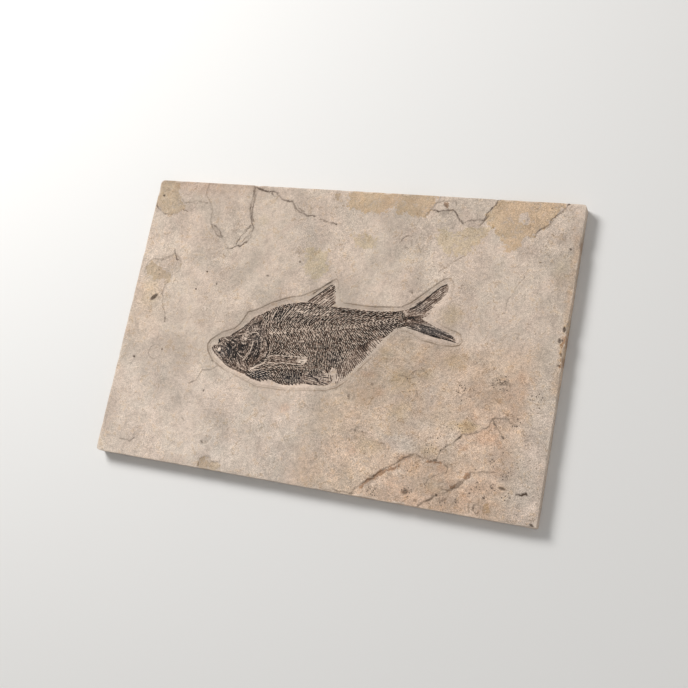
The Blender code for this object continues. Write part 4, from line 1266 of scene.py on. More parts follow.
def isBare(x, y):
    return any(hypot((x - cx) / long, (y - cy) / short) < 1 for cx, cy, long, short in barePlaces)


def bodyLevel(x, y):
    # height of the crust of bone, without its fine relief
    form = crustForm
    inside = insideDistance(x, y, fishOutline)
    onHead = insideDistance(x, y, forehead + gillEdge[::-1] + throat[-2::-1])
    rise = form["dome"][0] * smoothStep(0, 2.5, inside)
    rise = rise + form["dome"][1] * smoothStep(2.5, 12, inside)
    rise = rise + form["skullRise"] * smoothStep(-0.2, 1.2, onHead)
    for (depth, halfWidth), path in ((form["gillGroove"], gillEdge),
                                     (form["mouthGroove"], mouthGape)):
        rise = rise - depth * bell(lineDistance(x, y, path), halfWidth)
    ex, ey = eyeForm["place"]
    toEye = np.hypot(x - ex, (y - ey) * 1.05)
    height, halfWidth = eyeForm["rim"]
    rise = rise + height * bell(toEye - eyeForm["radius"], halfWidth)
    rise = rise - eyeForm["socket"] * (1 - smoothStep(1.5, 3.6, toEye))
    return form["edgeLevel"] + rise


levelLattice = bodyLevel(latticeX, latticeY)


def onCrust(x, y):
    return readLattice(levelLattice, x, y)


def addCrust(name, low, high, left, right, coarse, cuts, level, seed):
    # a thin plate between four lines: low and high run to the right, left and right run up
    deselectAll()
    bpy.ops.mesh.primitive_grid_add(x_subdivisions=coarse[0], y_subdivisions=coarse[1], size=1)
    crust = bpy.context.object
    crust.name = name
    setMode("EDIT")
    extrudeUp(1)
    subdivide(crust, "polygons", readFaces(crust, "normal")[:, 2] > 0.5, cuts)

    # its square grid is laid between the lines
    points = readVertices(crust) * mm
    u = np.clip(points[:, 0] + 0.5, 0, 1)
    v = np.clip(points[:, 1] + 0.5, 0, 1)
    top = points[:, 2] > 0.5
    plan = ((1 - v)[:, None] * alongPath(low, u) + v[:, None] * alongPath(high, u)
            + (1 - u)[:, None] * alongPath(left, v) + u[:, None] * alongPath(right, v))
    for share, corner in (((1 - u) * (1 - v), low[0]), (u * (1 - v), low[-1]),
                          ((1 - u) * v, high[0]), (u * v, high[-1])):
        plan = plan - np.outer(share, np.array(corner, float))
    x, y = plan.T
    rim = np.minimum(np.minimum(u, 1 - u), np.minimum(v, 1 - v)) < 0.001
    (wideCell, wideReach), (smallCell, smallReach) = crustForm["edgeBends"]
    x = x + wideReach * noise(x, y, wideCell, seed) + smallReach * noise(x, y, smallCell, seed + 2)
    y = y + wideReach * noise(x, y, wideCell, seed + 4) + smallReach * noise(x, y, smallCell, seed + 6)

    grain = 0
    for k, (cell, reach, share) in enumerate(crustForm["streaks"]):
        grain = grain + share * brushed(x, y, cell, reach, seed + 8 + 2 * k)
    z = level(x, y) + crustForm["grainRise"] * grain
    z = np.where(rim, np.minimum(z, crustForm["edgeLevel"] - 0.05), z)
    z = np.where(top, z, crustForm["underside"])
    writeVertices(crust, np.stack((x, y, z), axis=1))
    setAttribute(crust, "grain", grain)
    setAttribute(crust, "tone", sumOfPlaces(x, y, fishTones))
    setAttribute(crust, "cool", np.clip(sumOfPlaces(x, y, coolPlaces), 0, 1))
    smoothShading(crust, crustForm["smoothBelow"])
    return crust


def readTone(crust):
    tones = np.empty(len(crust.data.vertices))
    crust.data.attributes["tone"].data.foreach_get("value", tones)
    return tones


# Bones

def cutAcross(piece, cuts):
    # cuts through the edges that run along X
    points = piece.data.vertices
    ends = [[points[k].co.x for k in edge.vertices] for edge in piece.data.edges]
    subdivide(piece, "edges", [abs(a - b) > 0.5 for a, b in ends], cuts)


def prepareBone(piece):
    # attributes that the materials of bone read
    for name in ("tone", "cool", "grain"):
        setAttribute(piece, name, np.zeros(len(piece.data.vertices)))


def modelBone(name, cuts, ends):
    # a bar along X, its ends drawn out by the given (length, share of girth) and its top narrowed
    deselectAll()
    bpy.ops.mesh.primitive_cube_add(size=1)
    bone = bpy.context.object
    bone.name = name
    cutAcross(bone, cuts)
    for side in (1, -1):
        selectParts(bone, "polygons", readFaces(bone, "normal")[:, 0] * side > 0.9)
        at = 0.5
        for reach, share in ends:
            bpy.ops.mesh.extrude_region_move(TRANSFORM_OT_translate={"value": (side * reach, 0, 0)})
            at = at + reach
            bpy.ops.transform.resize(value=(1, share, share), center_override=(side * at, 0, -0.15))
        setMode("OBJECT")
    selectParts(bone, "vertices", readVertices(bone)[:, 2] > 0)
    bpy.ops.transform.resize(value=(1, 0.5, 1), center_override=(0, 0, 0.5))
    setMode("OBJECT")
    prepareBone(bone)
    return bone


shortBone = modelBone("shortBone", 1, ((0.3, 0.72), (0.2, 0.4)))
longBone = modelBone("longBone", 5, ((0.12, 0.75), (0.08, 0.45)))


def layBone(template, path, width, thick, seat, tone, cool=0.0):
    # a copy of the bone bent along a line on the fish; seat gives the level under it
    bone = template.copy()
    bone.data = template.data.copy()
    bpy.context.collection.objects.link(bone)
    local = readVertices(bone) * mm
    share = (local[:, 0] - local[:, 0].min()) / np.ptp(local[:, 0])
    middle = alongPath(path, share)
    ahead = alongPath(path, np.clip(share + 0.04, 0, 1)) - alongPath(path, np.clip(share - 0.04, 0, 1))
    ahead = ahead / np.maximum(np.hypot(ahead[:, 0], ahead[:, 1]), 1e-6)[:, None]
    x = middle[:, 0] - ahead[:, 1] * local[:, 1] * width
    y = middle[:, 1] + ahead[:, 0] * local[:, 1] * width
    z = seat(middle[:, 0], middle[:, 1]) + (local[:, 2] + 0.15) * thick  # sunk in a little
    writeVertices(bone, np.stack((x, y, z), axis=1))
    for name, value in (("tone", tone), ("cool", cool), ("grain", (tone * 7.7) % 1)):
        setAttribute(bone, name, np.full(len(local), value))
    return bone


def joinPieces(name, pieces, angle=70):
    deselectAll()
    for piece in pieces:
        piece.select_set(True)
    bpy.context.view_layer.objects.active = pieces[0]
    bpy.ops.object.join()
    joined = bpy.context.object
    joined.name = name
    bpy.ops.object.shade_smooth_by_angle(angle=radians(angle))
    return joined


def evenLines(outline, apart, shortest, longest, rng, keep=0.5):
    # lines along the grain at an even distance from each other, each started beside the last
    # ones; a line ends where it comes nearer to another than the share keep of that distance
    inside = insideDistance(latticeX, latticeY, outline)
    cell = 0.2  # of the map of how far the nearest line is
    stride = 0.4
    margin = 4
    corner = np.array([min(side) - margin for side in zip(*outline)])
    far = np.array([max(side) + margin for side in zip(*outline)])
    nearest = np.full(((far - corner) / cell).astype(int), 99.0)
    reach = int(apart / cell) + 1
    window = np.arange(-reach, reach + 1) * cell
    toMiddle = np.hypot(*np.meshgrid(window, window, indexing="ij"))

    def onMap(x, y):
        return int((x - corner[0]) / cell), int((y - corner[1]) / cell)

    def room(x, y):
        return 0 if readOne(inside, x, y) < 0.15 else nearest[onMap(x, y)]

    def trace(x, y, length):
        halves = []
        startX, startY = oneDirection(x, y)
        for way in (1, -1):
            px, py, dx, dy = x, y, way * startX, way * startY
            half = []
            for step in range(int(length / 2 / stride)):
                px, py = px + dx * stride, py + dy * stride
                if room(px, py) < apart * keep:
                    break
                half.append((px, py))
                nx, ny = oneDirection(px, py)
                flip = -1 if nx * dx + ny * dy < 0 else 1
                dx, dy = nx * flip, ny * flip
            halves.append(half)
        return halves[1][::-1] + [(x, y)] + halves[0]

    lines = []
    seeds = [tuple(place) for place in rng.uniform(corner + margin, far - margin, (60, 2))]
    while seeds:
        x, y = seeds.pop(0)
        if room(x, y) < apart * 0.93:
            continue
        line = trace(x, y, rng.uniform(shortest, longest))
        if len(line) < 3:
            nearest[onMap(x, y)] = 0
            continue
        for place in line:
            ix, iy = onMap(*place)
            block = nearest[ix - reach:ix + reach + 1, iy - reach:iy + reach + 1]
            np.minimum(block, toMiddle, out=block)
        for (ax, ay), (bx, by) in zip(line, line[1:]):
            long = hypot(bx - ax, by - ay)
            for side in (1, -1):
                seeds.append((ax - side * (by - ay) / long * apart, ay + side * (bx - ax) / long * apart))
        lines.append(np.array(line))
    return lines


boneFinish = {
    "dark": (0.011, 0.008, 0.006),
    "mid": (0.2, 0.129, 0.094),
    "light": (0.735, 0.6, 0.49),
    "coolDark": (0.011, 0.0105, 0.012),
    "coolMid": (0.155, 0.135, 0.125),
    "toMid": (0.05, 0.5),  # tones from and to which dark turns into mid
    "toLight": (0.45, 0.95),  # and mid into light
    "roughness": (0.55, 0.85),
    "shine": 0.15,
    "fineDepth": 0.05,
    # noises: width of a lump, detail, roughness, distortion; and how far they shift the tone
    "cloudy": ((3.2, 3, 0.6, 0.5), 0.1),
    "crumbs": ((0.75, 2, 0.65, 0), 0.2),
    "fine": ((0.28, 1, 0.5, 0), 0.14),
    # small pale crumbs of stone and black pits come from one noise, at its two ends
    "flecks": (0.62, 0, 0.5, 0.2),
    "paleFlecks": (0.56, 0.72),
    "blackFlecks": (0.44, 0.28),
}


def boneMaterial(name, ground, swing, flecked):
    # ground: tone of the level surface; swing: how strongly the grain lightens and darkens it;
    # flecked: the same for its crumbs
    form = boneFinish
    material, tree, shader = newMaterial(name)
    place = objectPlace(tree)
    tone = calculate(tree, "ADD", readAttribute(tree, "tone"), ground)
    tone = calculate(tree, "ADD", tone, calculate(tree, "MULTIPLY", readAttribute(tree, "grain"), swing))
    noises = []
    for lumps, reach in (form["cloudy"], form["crumbs"], form["fine"]):
        noises.append(noiseTexture(tree, place, *lumps))
        tone = calculate(tree, "ADD", tone, rescale(tree, noises[-1], 0.3, 0.7, -reach, reach))
    flecks = noiseTexture(tree, place, *form["flecks"])
    for way, ends in (("ADD", form["paleFlecks"]), ("SUBTRACT", form["blackFlecks"])):
        tone = calculate(tree, way, tone, rescale(tree, flecks, *ends, 0, flecked, True))
    cool = readAttribute(tree, "cool")
    dark = blendColours(tree, cool, form["dark"], form["coolDark"])
    mid = blendColours(tree, cool, form["mid"], form["coolMid"])
    lower = blendColours(tree, rescale(tree, tone, *form["toMid"], 0, 1), dark, mid)
    toLight = rescale(tree, tone, *form["toLight"], 0, 1)
    plug(tree, shader.inputs["Base Color"], blendColours(tree, toLight, lower, form["light"]))
    crumbs, fine = noises[1:]
    plug(tree, shader.inputs["Roughness"], rescale(tree, crumbs, 0.3, 0.7, *form["roughness"]))
    plug(tree, shader.inputs["Specular IOR Level"], form["shine"])
    height = calculate(tree, "ADD", crumbs, fine)
    plug(tree, shader.inputs["Normal"], bumpFrom(tree, height, form["fineDepth"]))
    return material


trunkBone = boneMaterial("fossilBone", 0.5, 0.3, 0.3)
skullBone = boneMaterial("fossilSkullBone", 0.45, 0.36, 0.28)
finBone = boneMaterial("fossilFinBone", 0.6, 0.2, 0.14)
paleBone = boneMaterial("paleFinBone", 0.66, 0.16, 0.25)
calcite = boneMaterial("calcite", 0.95, 0.0, 0.0)

# shares between which sizes are drawn, so that no two bones match
slightly = (0.75, 1.25)
freely = (0.7, 1.3)


def boneTone(x, y, tone, follow=0.5):
    # tone and coolness of a bone at a place on the fish, following its tones by that share
    change = atOne(sumOfPlaces, x, y, fishTones)
    return tone + follow * change, min(1, atOne(sumOfPlaces, x, y, coolPlaces))


def scatterCrumbs(form, outline, rng, alongGrain):
    # short bits of pale matrix and dark bone
    pieces = []
    for k in range(form["crumbs"]):
        x, y = [rng.uniform(*side) for side in form["crumbField"]]
        if atOne(insideDistance, x, y, outline) < 0.6:
            continue
        dx, dy = oneDirection(x, y) if alongGrain else (1, 0)
        turn = rng.normal(0, 0.3) if alongGrain else rng.uniform(0, pi)
        dx, dy = dx * cos(turn) - dy * sin(turn), dx * sin(turn) + dy * cos(turn)
        half = rng.uniform(*form["crumbHalves"])
        path = ((x - dx * half, y - dy * half), (x + dx * half, y + dy * half))
        palest, darkest = form["crumbTones"]
        tone, cool = boneTone(x, y, palest if rng.random() < form["paleCrumbs"] else darkest)
        width = rng.uniform(*form["crumbWidths"])
        pieces.append(layBone(shortBone, path, width, form["crumbThick"], onCrust, tone, cool))
    return pieces


# Trunk

trunkForm = {
    "apart": 1.0,  # from one bone to the next
    "lengths": (3.2, 8.0),
    "width": 0.72,
    "thick": 0.36,
    "tone": (-0.78, 0.12),  # mean and spread, as all tones with two values
    "matrixWidth": 0.43,  # pale matrix left between the bones
    "matrixLengths": (0.7, 2.4),
    "matrixGap": 0.8,  # mean gap from one slip of it to the next
    "matrixTone": (0.68, 0.18),
    "darkStrip": (1.9, 0.5),  # along the backbone the matrix is darker: half width, change
    "crumbs": 900,
    "crumbField": ((-46, 45), (-32, 19)),
    "crumbHalves": (0.35, 0.9),
    "crumbWidths": (0.28, 0.5),
    "crumbThick": 0.5,
    "crumbTones": (0.4, -0.5),
    "paleCrumbs": 0.5,
    "arrows": 36,
    "arrowTone": (0.84, 0.1),
    "arrowWidths": (0.46, 0.6),
    "arrowThick": 0.58,
    "arrowsKept": 0.92,
    "napeThick": 0.5,
    "napeCool": 0.2,
    "vertebrae": 40,
    "vertebraSize": (1.3, 0.6),  # behind the head, and how much less at the tail
    "vertebraTones": (-0.34, 0.06),
    # belly scutes, nape spines and back spines: number, first share of the line, run, width,
    # thickness, tone, its spread, coolness
    "scutes": (17, 0.02, 0.33, 0.9, 0.3, -0.45, 0.08, 0.3),
    "napeSpines": (12, 0.08, 0.17, 0.62, 0.3, -0.45, 0.06, 0.3),
    "backSpines": (26, 0.27, 0.71, 0.7, 0.3, -0.42, 0.1, 0.1),
}

# longer bones behind the head: tone, width, then the line
napeBones = (
    (0.6, 0.6, ((-35.1, 11), (-36.2, 7.6), (-36.8, 4.8))),
    (-0.6, 0.8, ((-34.2, 11.6), (-35.2, 8), (-35.9, 4.4))),
    (0.6, 0.6, ((-24.4, 13.8), (-25.8, 12.1), (-27.2, 9.3), (-29.2, 6.5))),
    (-0.6, 0.8, ((-25.2, 14.8), (-26.8, 12.1), (-28.2, 9.3))),
    (0.55, 0.5, ((-32.3, 9.6), (-33.4, 7), (-34.2, 5))),
    (-0.6, 0.8, ((-31.2, 12), (-32.6, 8.4), (-34.6, 5))),
    (0.55, 0.55, ((-28.1, 11.4), (-29.8, 7.8), (-31.4, 4.8))),
    (-0.6, 0.8, ((-28.9, 11.4), (-30.6, 7.4), (-32.4, 4.8))),
    (0.5, 0.55, ((-39.8, 7.6), (-39.2, 4.8), (-40.4, 2))),
    (-0.55, 0.7, ((-38.6, 8.6), (-38.2, 5.6), (-38.8, 3.2))),
    (0.5, 0.8, ((-22, 11.4), (-20, 11.6), (-18, 11))),
    (-0.55, 0.7, ((-22.6, 16.6), (-23.6, 14.8), (-25, 12.6))),
    (0.5, 0.4, ((-21.6, 15), (-22.6, 13.6), (-24, 11.6))),
)


def layMatrix(path, rng):
    # slips of pale matrix along one side of a bone
    form = trunkForm
    slips = []
    meanTone, spread = form["matrixTone"]
    halfWidth, change = form["darkStrip"]
    run = np.hypot(*(path[-1] - path[0])) + 0.01
    across = np.array((path[0][1] - path[-1][1], path[-1][0] - path[0][0])) / run
    at = rng.uniform(0, 0.8)
    while at < run - 0.5:
        long = rng.uniform(*form["matrixLengths"])
        slip = alongPath(path, np.linspace(at / run, min(1, (at + long) / run), 4))
        slip = slip + across * form["apart"] * rng.uniform(0.42, 0.56)
        x, y = slip[1]
        tone, cool = boneTone(x, y, meanTone + rng.normal(0, spread), 0.7)
        if atOne(lineDistance, x, y - 1.0, backbone) < halfWidth:
            tone = tone - change
        slips.append(layBone(shortBone, slip, form["matrixWidth"] * rng.uniform(*freely),
                             form["thick"] * 1.1, onCrust, tone, cool))
        at = at + long + rng.exponential(form["matrixGap"])
    return slips


def layArrows(rng):
    # pale matrix left between the feet of the spines, in a row of small arrows
    form = trunkForm
    arrows = []
    tone, spread = form["arrowTone"]
    for k in range(form["arrows"]):
        x, y = alongPath(backbone, 0.03 + 0.9 * k / form["arrows"]) + rng.normal(0, 0.14, 2)
        for path in (((x, y + 1.0), (x + 0.5, y + 1.8), (x + 1.2, y + 2.7)),
                     ((x - 0.1, y + 1.3), (x + 0.5, y + 0.5), (x + 1.2, y - 0.4))):
            if rng.random() < form["arrowsKept"]:
                width = rng.uniform(*form["arrowWidths"])
                arrows.append(layBone(shortBone, path, width, form["arrowThick"], onCrust,
                                      tone + rng.normal(0, spread)))
    return arrows


def addTrunk():
    form = trunkForm
    rng = np.random.default_rng(12)
    crust = addCrust("trunkCrust", belly, back, gillEdge, (belly[-1], (46.4, 14), back[-1]),
                     (23, 10), 13, onCrust, 201)
    dress(crust, "trunk", trunkBone)
    outline = back + belly[::-1] + gillEdge[1:-1]
    meanTone, spread = form["tone"]
    pieces = []
    for path in evenLines(outline, form["apart"], *form["lengths"], rng):
        x, y = path[len(path) // 2]
        if isBare(x, y):
            continue
        tone, cool = boneTone(x, y, meanTone + rng.normal(0, spread))
        width = form["width"] * rng.uniform(*slightly)
        thick = form["thick"] * rng.uniform(0.7, 1.2)
        pieces.append(layBone(shortBone, path, width, thick, onCrust, tone, cool))
        pieces.extend(layMatrix(path, rng))
    pieces.extend(scatterCrumbs(trunkForm, outline, rng, True))
    pieces.extend(layArrows(rng))
    for tone, width, path in napeBones:
        pieces.append(layBone(longBone, path, width, form["napeThick"], onCrust, tone,
                              form["napeCool"]))
    dress(joinPieces("ribsAndSpines", pieces), "trunk", trunkBone)
    print("trunk bones:", len(pieces))


def modelVertebra():
    # an hourglass drum, its axis along X
    deselectAll()
    bpy.ops.mesh.primitive_cylinder_add(vertices=8, radius=0.5, depth=1, rotation=(0, pi / 2, 0))
    bpy.ops.object.transform_apply(rotation=True)
    drum = bpy.context.object
    drum.name = "vertebra"
    cutAcross(drum, 3)
    selectParts(drum, "vertices", np.abs(readVertices(drum)[:, 0] * mm) < 0.3)
    bpy.ops.transform.resize(value=(0.9, 0.72, 0.72), center_override=(0, 0, 0))
    setMode("OBJECT")
    prepareBone(drum)
    return drum


def addBackbone():
    rng = np.random.default_rng(31)
    drum = modelVertebra()
    count = trunkForm["vertebrae"]
    largest, less = trunkForm["vertebraSize"]
    places = alongPath(backbone, (np.arange(count) + 0.5) / count)
    pieces = []
    for k, (x, y) in enumerate(places):
        a = places[max(k - 1, 0)]
        b = places[min(k + 1, count - 1)]
        along = (b - a) / np.hypot(*(b - a))
        size = largest - less * k / count
        length = 1.05 * np.hypot(*(b - a)) / (2 if 0 < k < count - 1 else 1)
        path = [(x, y) - along * length * 0.34, (x, y) + along * length * 0.34]
        tone, cool = boneTone(x, y, trunkForm["vertebraTones"][k % 2] + rng.normal(0, 0.16), 0.8)
        pieces.append(layBone(drum, path, size * rng.uniform(0.9, 1.1), size * 0.5, onCrust, tone, cool))
    dress(joinPieces("backbone", pieces, 50), "trunk", trunkBone)
    bpy.data.objects.remove(drum)


def addScutes():
    # notched keel of the belly, then the short spines along the nape and the back
    rng = np.random.default_rng(43)
    pieces = []

    def scutePath(x, y):
        lean = rng.uniform(-0.4, 0.4)
        return (x - 1.2, y + 1.3), (x + 0.2, y + 0.5 + 0.3 * lean), (x + 1.3, y - 0.2 + 0.4 * lean)

    def napePath(x, y):
        return (x - 0.6, y + 0.1), (x + 0.7, y - 0.7), (x + 1.7, y - 1.6)

    def backPath(x, y):
        return (x - 1.0, y - 0.5), (x, y - 0.45 + rng.uniform(-0.2, 0.2)), (x + 1.0, y - 0.2)

    for row, line, shape in (("scutes", belly, scutePath), ("napeSpines", back, napePath),
                             ("backSpines", back, backPath)):
        count, first, run, width, thick, tone, spread, cool = trunkForm[row]
        for k in range(count):
            path = shape(*alongPath(line, first + run * k / count))
            shade = tone + rng.normal(0, spread)
            pieces.append(layBone(shortBone, path, width, thick, onCrust, shade, cool))
    dress(joinPieces("scutesAndNape", pieces), "trunk", trunkBone)


addTrunk()
addBackbone()
addScutes()
print("trunk made")


# Skull

skullForm = {
    "apart": 0.95,
    "lengths": (1.8, 5.0),
    "width": 0.55,
    "thick": 0.24,
    "tone": (-0.42, 0.14),
    "paleBones": (0.12, 0.2),  # how many of them are pale, and their tone
    "namedCool": 0.35,
    "crumbs": 340,
    "crumbField": ((-71, -36), (-29, 7)),
    "crumbHalves": (0.3, 0.7),
    "crumbWidths": (0.26, 0.42),
    "crumbThick": 0.45,
    "crumbTones": (0.5, -0.5),
    "paleCrumbs": 0.6,
    "jawRays": 8,
    "eyePlates": 11,
}

# named bones of the head: tone, width, thickness, then the line
headBones = (
    # jaws and snout
    (-0.4, 1.7, 0.42, ((-72.2, -16.1), (-69, -18.8), (-65, -21.8), (-61, -24.4), (-56.5, -26.6))),
    (0.5, 0.34, 0.5, ((-70.6, -17), (-67.4, -19.4), (-64.2, -21.6))),
    (0.4, 0.34, 0.5, ((-65.6, -22), (-62, -24.2), (-58.4, -25.8))),
    (0.62, 0.4, 0.3, ((-64, -23.9), (-61, -25.8), (-57.6, -27.4), (-55.4, -27.9))),
    (-0.4, 0.8, 0.34, ((-71.6, -14.9), (-68.6, -15.1), (-66.2, -15.2), (-64, -16.6), (-62, -19))),
    (-0.3, 0.9, 0.3, ((-66.6, -17.6), (-63.4, -19.8), (-60, -22.2), (-56.6, -24.2))),
    (-0.5, 1.4, 0.36, ((-68.5, -10.3), (-68.2, -11.6), (-67.3, -12.8))),
    (-0.4, 1.1, 0.36, ((-66.4, -11.6), (-65.2, -13.4), (-63.4, -15.6), (-61.6, -18.6), (-60.6, -21.2))),
    (0.55, 0.5, 0.34, ((-70.9, -14.2), (-69.2, -13.9), (-67.6, -13.7), (-65.4, -13.8))),
    (0.5, 0.45, 0.34, ((-69.6, -16.6), (-68.4, -17.6), (-67, -18.6))),
    (0.45, 0.5, 0.3, ((-66, -9.6), (-64, -10), (-62.2, -10.6))),
    (0.5, 0.5, 0.3, ((-63.9, -12.2), (-63.6, -13.2), (-63.2, -14))),
    # forehead
    (-0.3, 0.9, 0.3, ((-68, -9.9), (-65.4, -9.3), (-62.6, -8.6), (-60.6, -7.4))),
    (-0.45, 0.9, 0.34, ((-61, -6.9), (-59, -5.5), (-57.2, -4.2), (-54, -1.6), (-52, 1))),
    (-0.4, 0.8, 0.34, ((-53.6, -2.4), (-51.6, 0.6), (-50.2, 3), (-48.6, 5.2))),
    (-0.4, 0.8, 0.3, ((-47.4, 5.6), (-45.6, 6.4), (-43.6, 7.6))),
    (0.3, 0.4, 0.3, ((-58.6, -9.6), (-57.2, -10), (-56.2, -10.1))),
    # eye, and the pale flecks above it
    (0.55, 0.7, 0.34, ((-53.8, -7), (-52.6, -7.6), (-51.4, -8.6), (-51, -9.8))),
    (0.6, 0.6, 0.34, ((-52.6, -5.2), (-51.8, -6.2), (-51.9, -7.2))),
    (0.5, 0.45, 0.3, ((-53.4, -10.6), (-52.4, -11.6), (-51.6, -12.2))),
    (0.36, 0.5, 0.3, ((-54.4, -17.6), (-52.4, -19.2), (-50, -20.2))),
    # arc over the gill cover, and the bar that comes down from it
    (0.56, 0.62, 0.4, ((-50.6, -5.9), (-48.6, -5.2), (-46.6, -4.3), (-45, -3.8), (-43.4, -4.6),
     (-42.6, -5.8))),
    (0.4, 0.5, 0.34, ((-42, -6.2), (-41, -7.4), (-40.4, -8.8))),
    (-0.45, 0.7, 0.3, ((-49.8, -6.9), (-48.4, -6.3), (-46.4, -5.6), (-45, -5.4), (-44, -6.2))),
    (0.06, 1.3, 0.42, ((-45.9, -8.2), (-45.7, -10.6), (-45.9, -13.4), (-46.6, -16.6), (-48, -19.4),
     (-50, -21.8))),
    (0.34, 0.3, 0.56, ((-46.2, -8.6), (-46, -11), (-46.3, -13.4))),
    (0.34, 0.3, 0.56, ((-46.7, -14.6), (-47.8, -17.2), (-49.6, -20.4))),
    (-0.55, 0.8, 0.38, ((-44.4, -8), (-44.2, -11), (-44.5, -14.4), (-45.4, -17.8), (-46.8, -20.8))),
    (-0.45, 0.7, 0.3, ((-48, -8.8), (-48.2, -11.4), (-48.6, -14.2), (-49.4, -17))),
    # gill cover
    (-0.5, 1.2, 0.34, ((-42.8, -7.4), (-41.4, -10), (-40.8, -13.4), (-41.4, -17), (-43, -20))),
    (0.45, 0.32, 0.5, ((-43.4, -8.4), (-42.6, -10), (-42.2, -12))),
    (0.4, 0.32, 0.5, ((-40.4, -9.4), (-39.6, -11.4), (-39.3, -13.4))),
    (0.4, 0.3, 0.5, ((-42.8, -14.2), (-43, -16.2), (-43.8, -18.2))),
    (0.14, 0.6, 0.36, ((-39.9, -5.8), (-38.2, -8.8), (-36.9, -12), (-36.5, -15.2), (-37.6, -18.6),
     (-40.2, -21.2))),
    (-0.6, 1.2, 0.4, ((-38.6, -6.2), (-36.6, -9.2), (-35.2, -12.4), (-34.9, -16), (-36, -19.2),
     (-38.6, -21.8), (-41.8, -23.4))),
    (0.4, 0.36, 0.4, ((-34.6, -11.4), (-33.6, -14), (-33.6, -16.8), (-34.6, -19.2), (-36.4, -21.4))),
    # shoulder bar and the lobe under it
    (0.5, 0.9, 0.42, ((-34.8, -20.4), (-37, -22.2), (-39.4, -23.6), (-41.8, -24.6), (-43.4, -26),
     (-44.6, -27.8))),
    (0.35, 1.2, 0.4, ((-40.4, -24.4), (-41.8, -25.2), (-43, -26.6))),
    (0.55, 0.4, 0.4, ((-44, -28.2), (-42, -26.9), (-39.4, -26), (-36.6, -25.2), (-34, -24.2))),
    (-0.45, 0.8, 0.34, ((-39.6, -25), (-37.6, -23.9), (-35.4, -22.6))),
    (-0.4, 0.7, 0.3, ((-59.6, -25.2), (-56, -26.5), (-52, -27.7), (-48.6, -28.4))),
    (-0.4, 0.7, 0.3, ((-49, -28.5), (-46.6, -27.7), (-44, -28.4), (-41.6, -29.4))),
    (0.3, 0.4, 0.3, ((-41.6, 3.4), (-40.8, 2.2), (-41.4, 0.8))),
)

calciteSpot = {"place": (-66.9, -16.9), "radii": (1.1, 1.3), "height": 0.3, "unevenness": 0.16}


def jawRays():
    # rays that fan out under the jaw
    rays = []
    for k in range(skullForm["jawRays"]):
        x, y = -61.5 + 1.9 * k, -20.2 - 0.25 * k
        path = ((x, y), (x + 1.6, y - 2.2), (x + 3.6, y - 4.2 - 0.1 * k))
        rays.append(layBone(shortBone, path, 0.62, 0.3, onCrust, -0.26 + 0.3 * (k % 3 == 1), 0.3))
    return rays


def eyeRing(rng):
    # ring of small plates round the eye
    plates = []
    ex, ey = eyeForm["place"]
    for k in range(skullForm["eyePlates"]):
        turn = 2 * pi * k / skullForm["eyePlates"] + 0.3
        path = [(ex + eyeForm["radius"] * cos(turn + step), ey + 3.9 * sin(turn + step))
                for step in (-0.24, 0, 0.24)]
        plates.append(layBone(shortBone, path, 0.9, 0.3, onCrust, -0.2 + rng.normal(0, 0.16), 0.1))
    return plates


def addSkull():
    form = skullForm
    rng = np.random.default_rng(57)
    crust = addCrust("skullCrust", throat, forehead, mouth, gillEdge, (12, 9), 13, onCrust, 231)
    dress(crust, "skull", skullBone)
    pieces = []
    for tone, width, thick, path in headBones:
        pieces.append(layBone(longBone, path, width, thick, onCrust, tone, form["namedCool"]))
    pieces.extend(jawRays())
    pieces.extend(eyeRing(rng))
    outline = forehead + gillEdge[-2::-1] + throat[-2::-1]
    meanTone, spread = form["tone"]
    paleShare, paleTone = form["paleBones"]
    for path in evenLines(outline, form["apart"], *form["lengths"], rng):
        x, y = path[len(path) // 2]
        tone, cool = boneTone(x, y, meanTone + rng.normal(0, spread))
        if rng.random() < paleShare:
            tone = paleTone
        width = form["width"] * rng.uniform(*freely)
        thick = form["thick"] * rng.uniform(*freely)
        pieces.append(layBone(shortBone, path, width, thick, onCrust, tone, cool))
    pieces.extend(scatterCrumbs(skullForm, outline, rng, False))
    dress(joinPieces("headBones", pieces), "skull", skullBone)


def addCalcite():
    # fleck of white calcite between the jaws
    form = calciteSpot
    deselectAll()
    bpy.ops.mesh.primitive_ico_sphere_add(subdivisions=3, radius=1)
    fleck = bpy.context.object
    fleck.name = "calciteFleck"
    sx, sy, sz = readVertices(fleck).T * mm
    lump = 1 + form["unevenness"] * noise(sx * 3, sy * 3 + sz * 2, 1, 77)
    (cx, cy), (long, short) = form["place"], form["radii"]
    x = cx + sx * lump * long
    y = cy + sy * lump * short
    z = onCrust(x, y) + 0.05 + sz * lump * form["height"]
    writeVertices(fleck, np.stack((x, y, z), axis=1))
    prepareBone(fleck)
    setAttribute(fleck, "tone", np.full(len(x), 1.0))
    bpy.ops.object.shade_smooth()
    dress(fleck, "skull", calcite)


addSkull()
addCalcite()
print("skull made")


# Fins

def stretchOf(path, first, last, shift):
    # part of a path, moved by shift
    return [(x + shift[0], y + shift[1]) for x, y in alongPath(path, np.linspace(first, last, 24))]


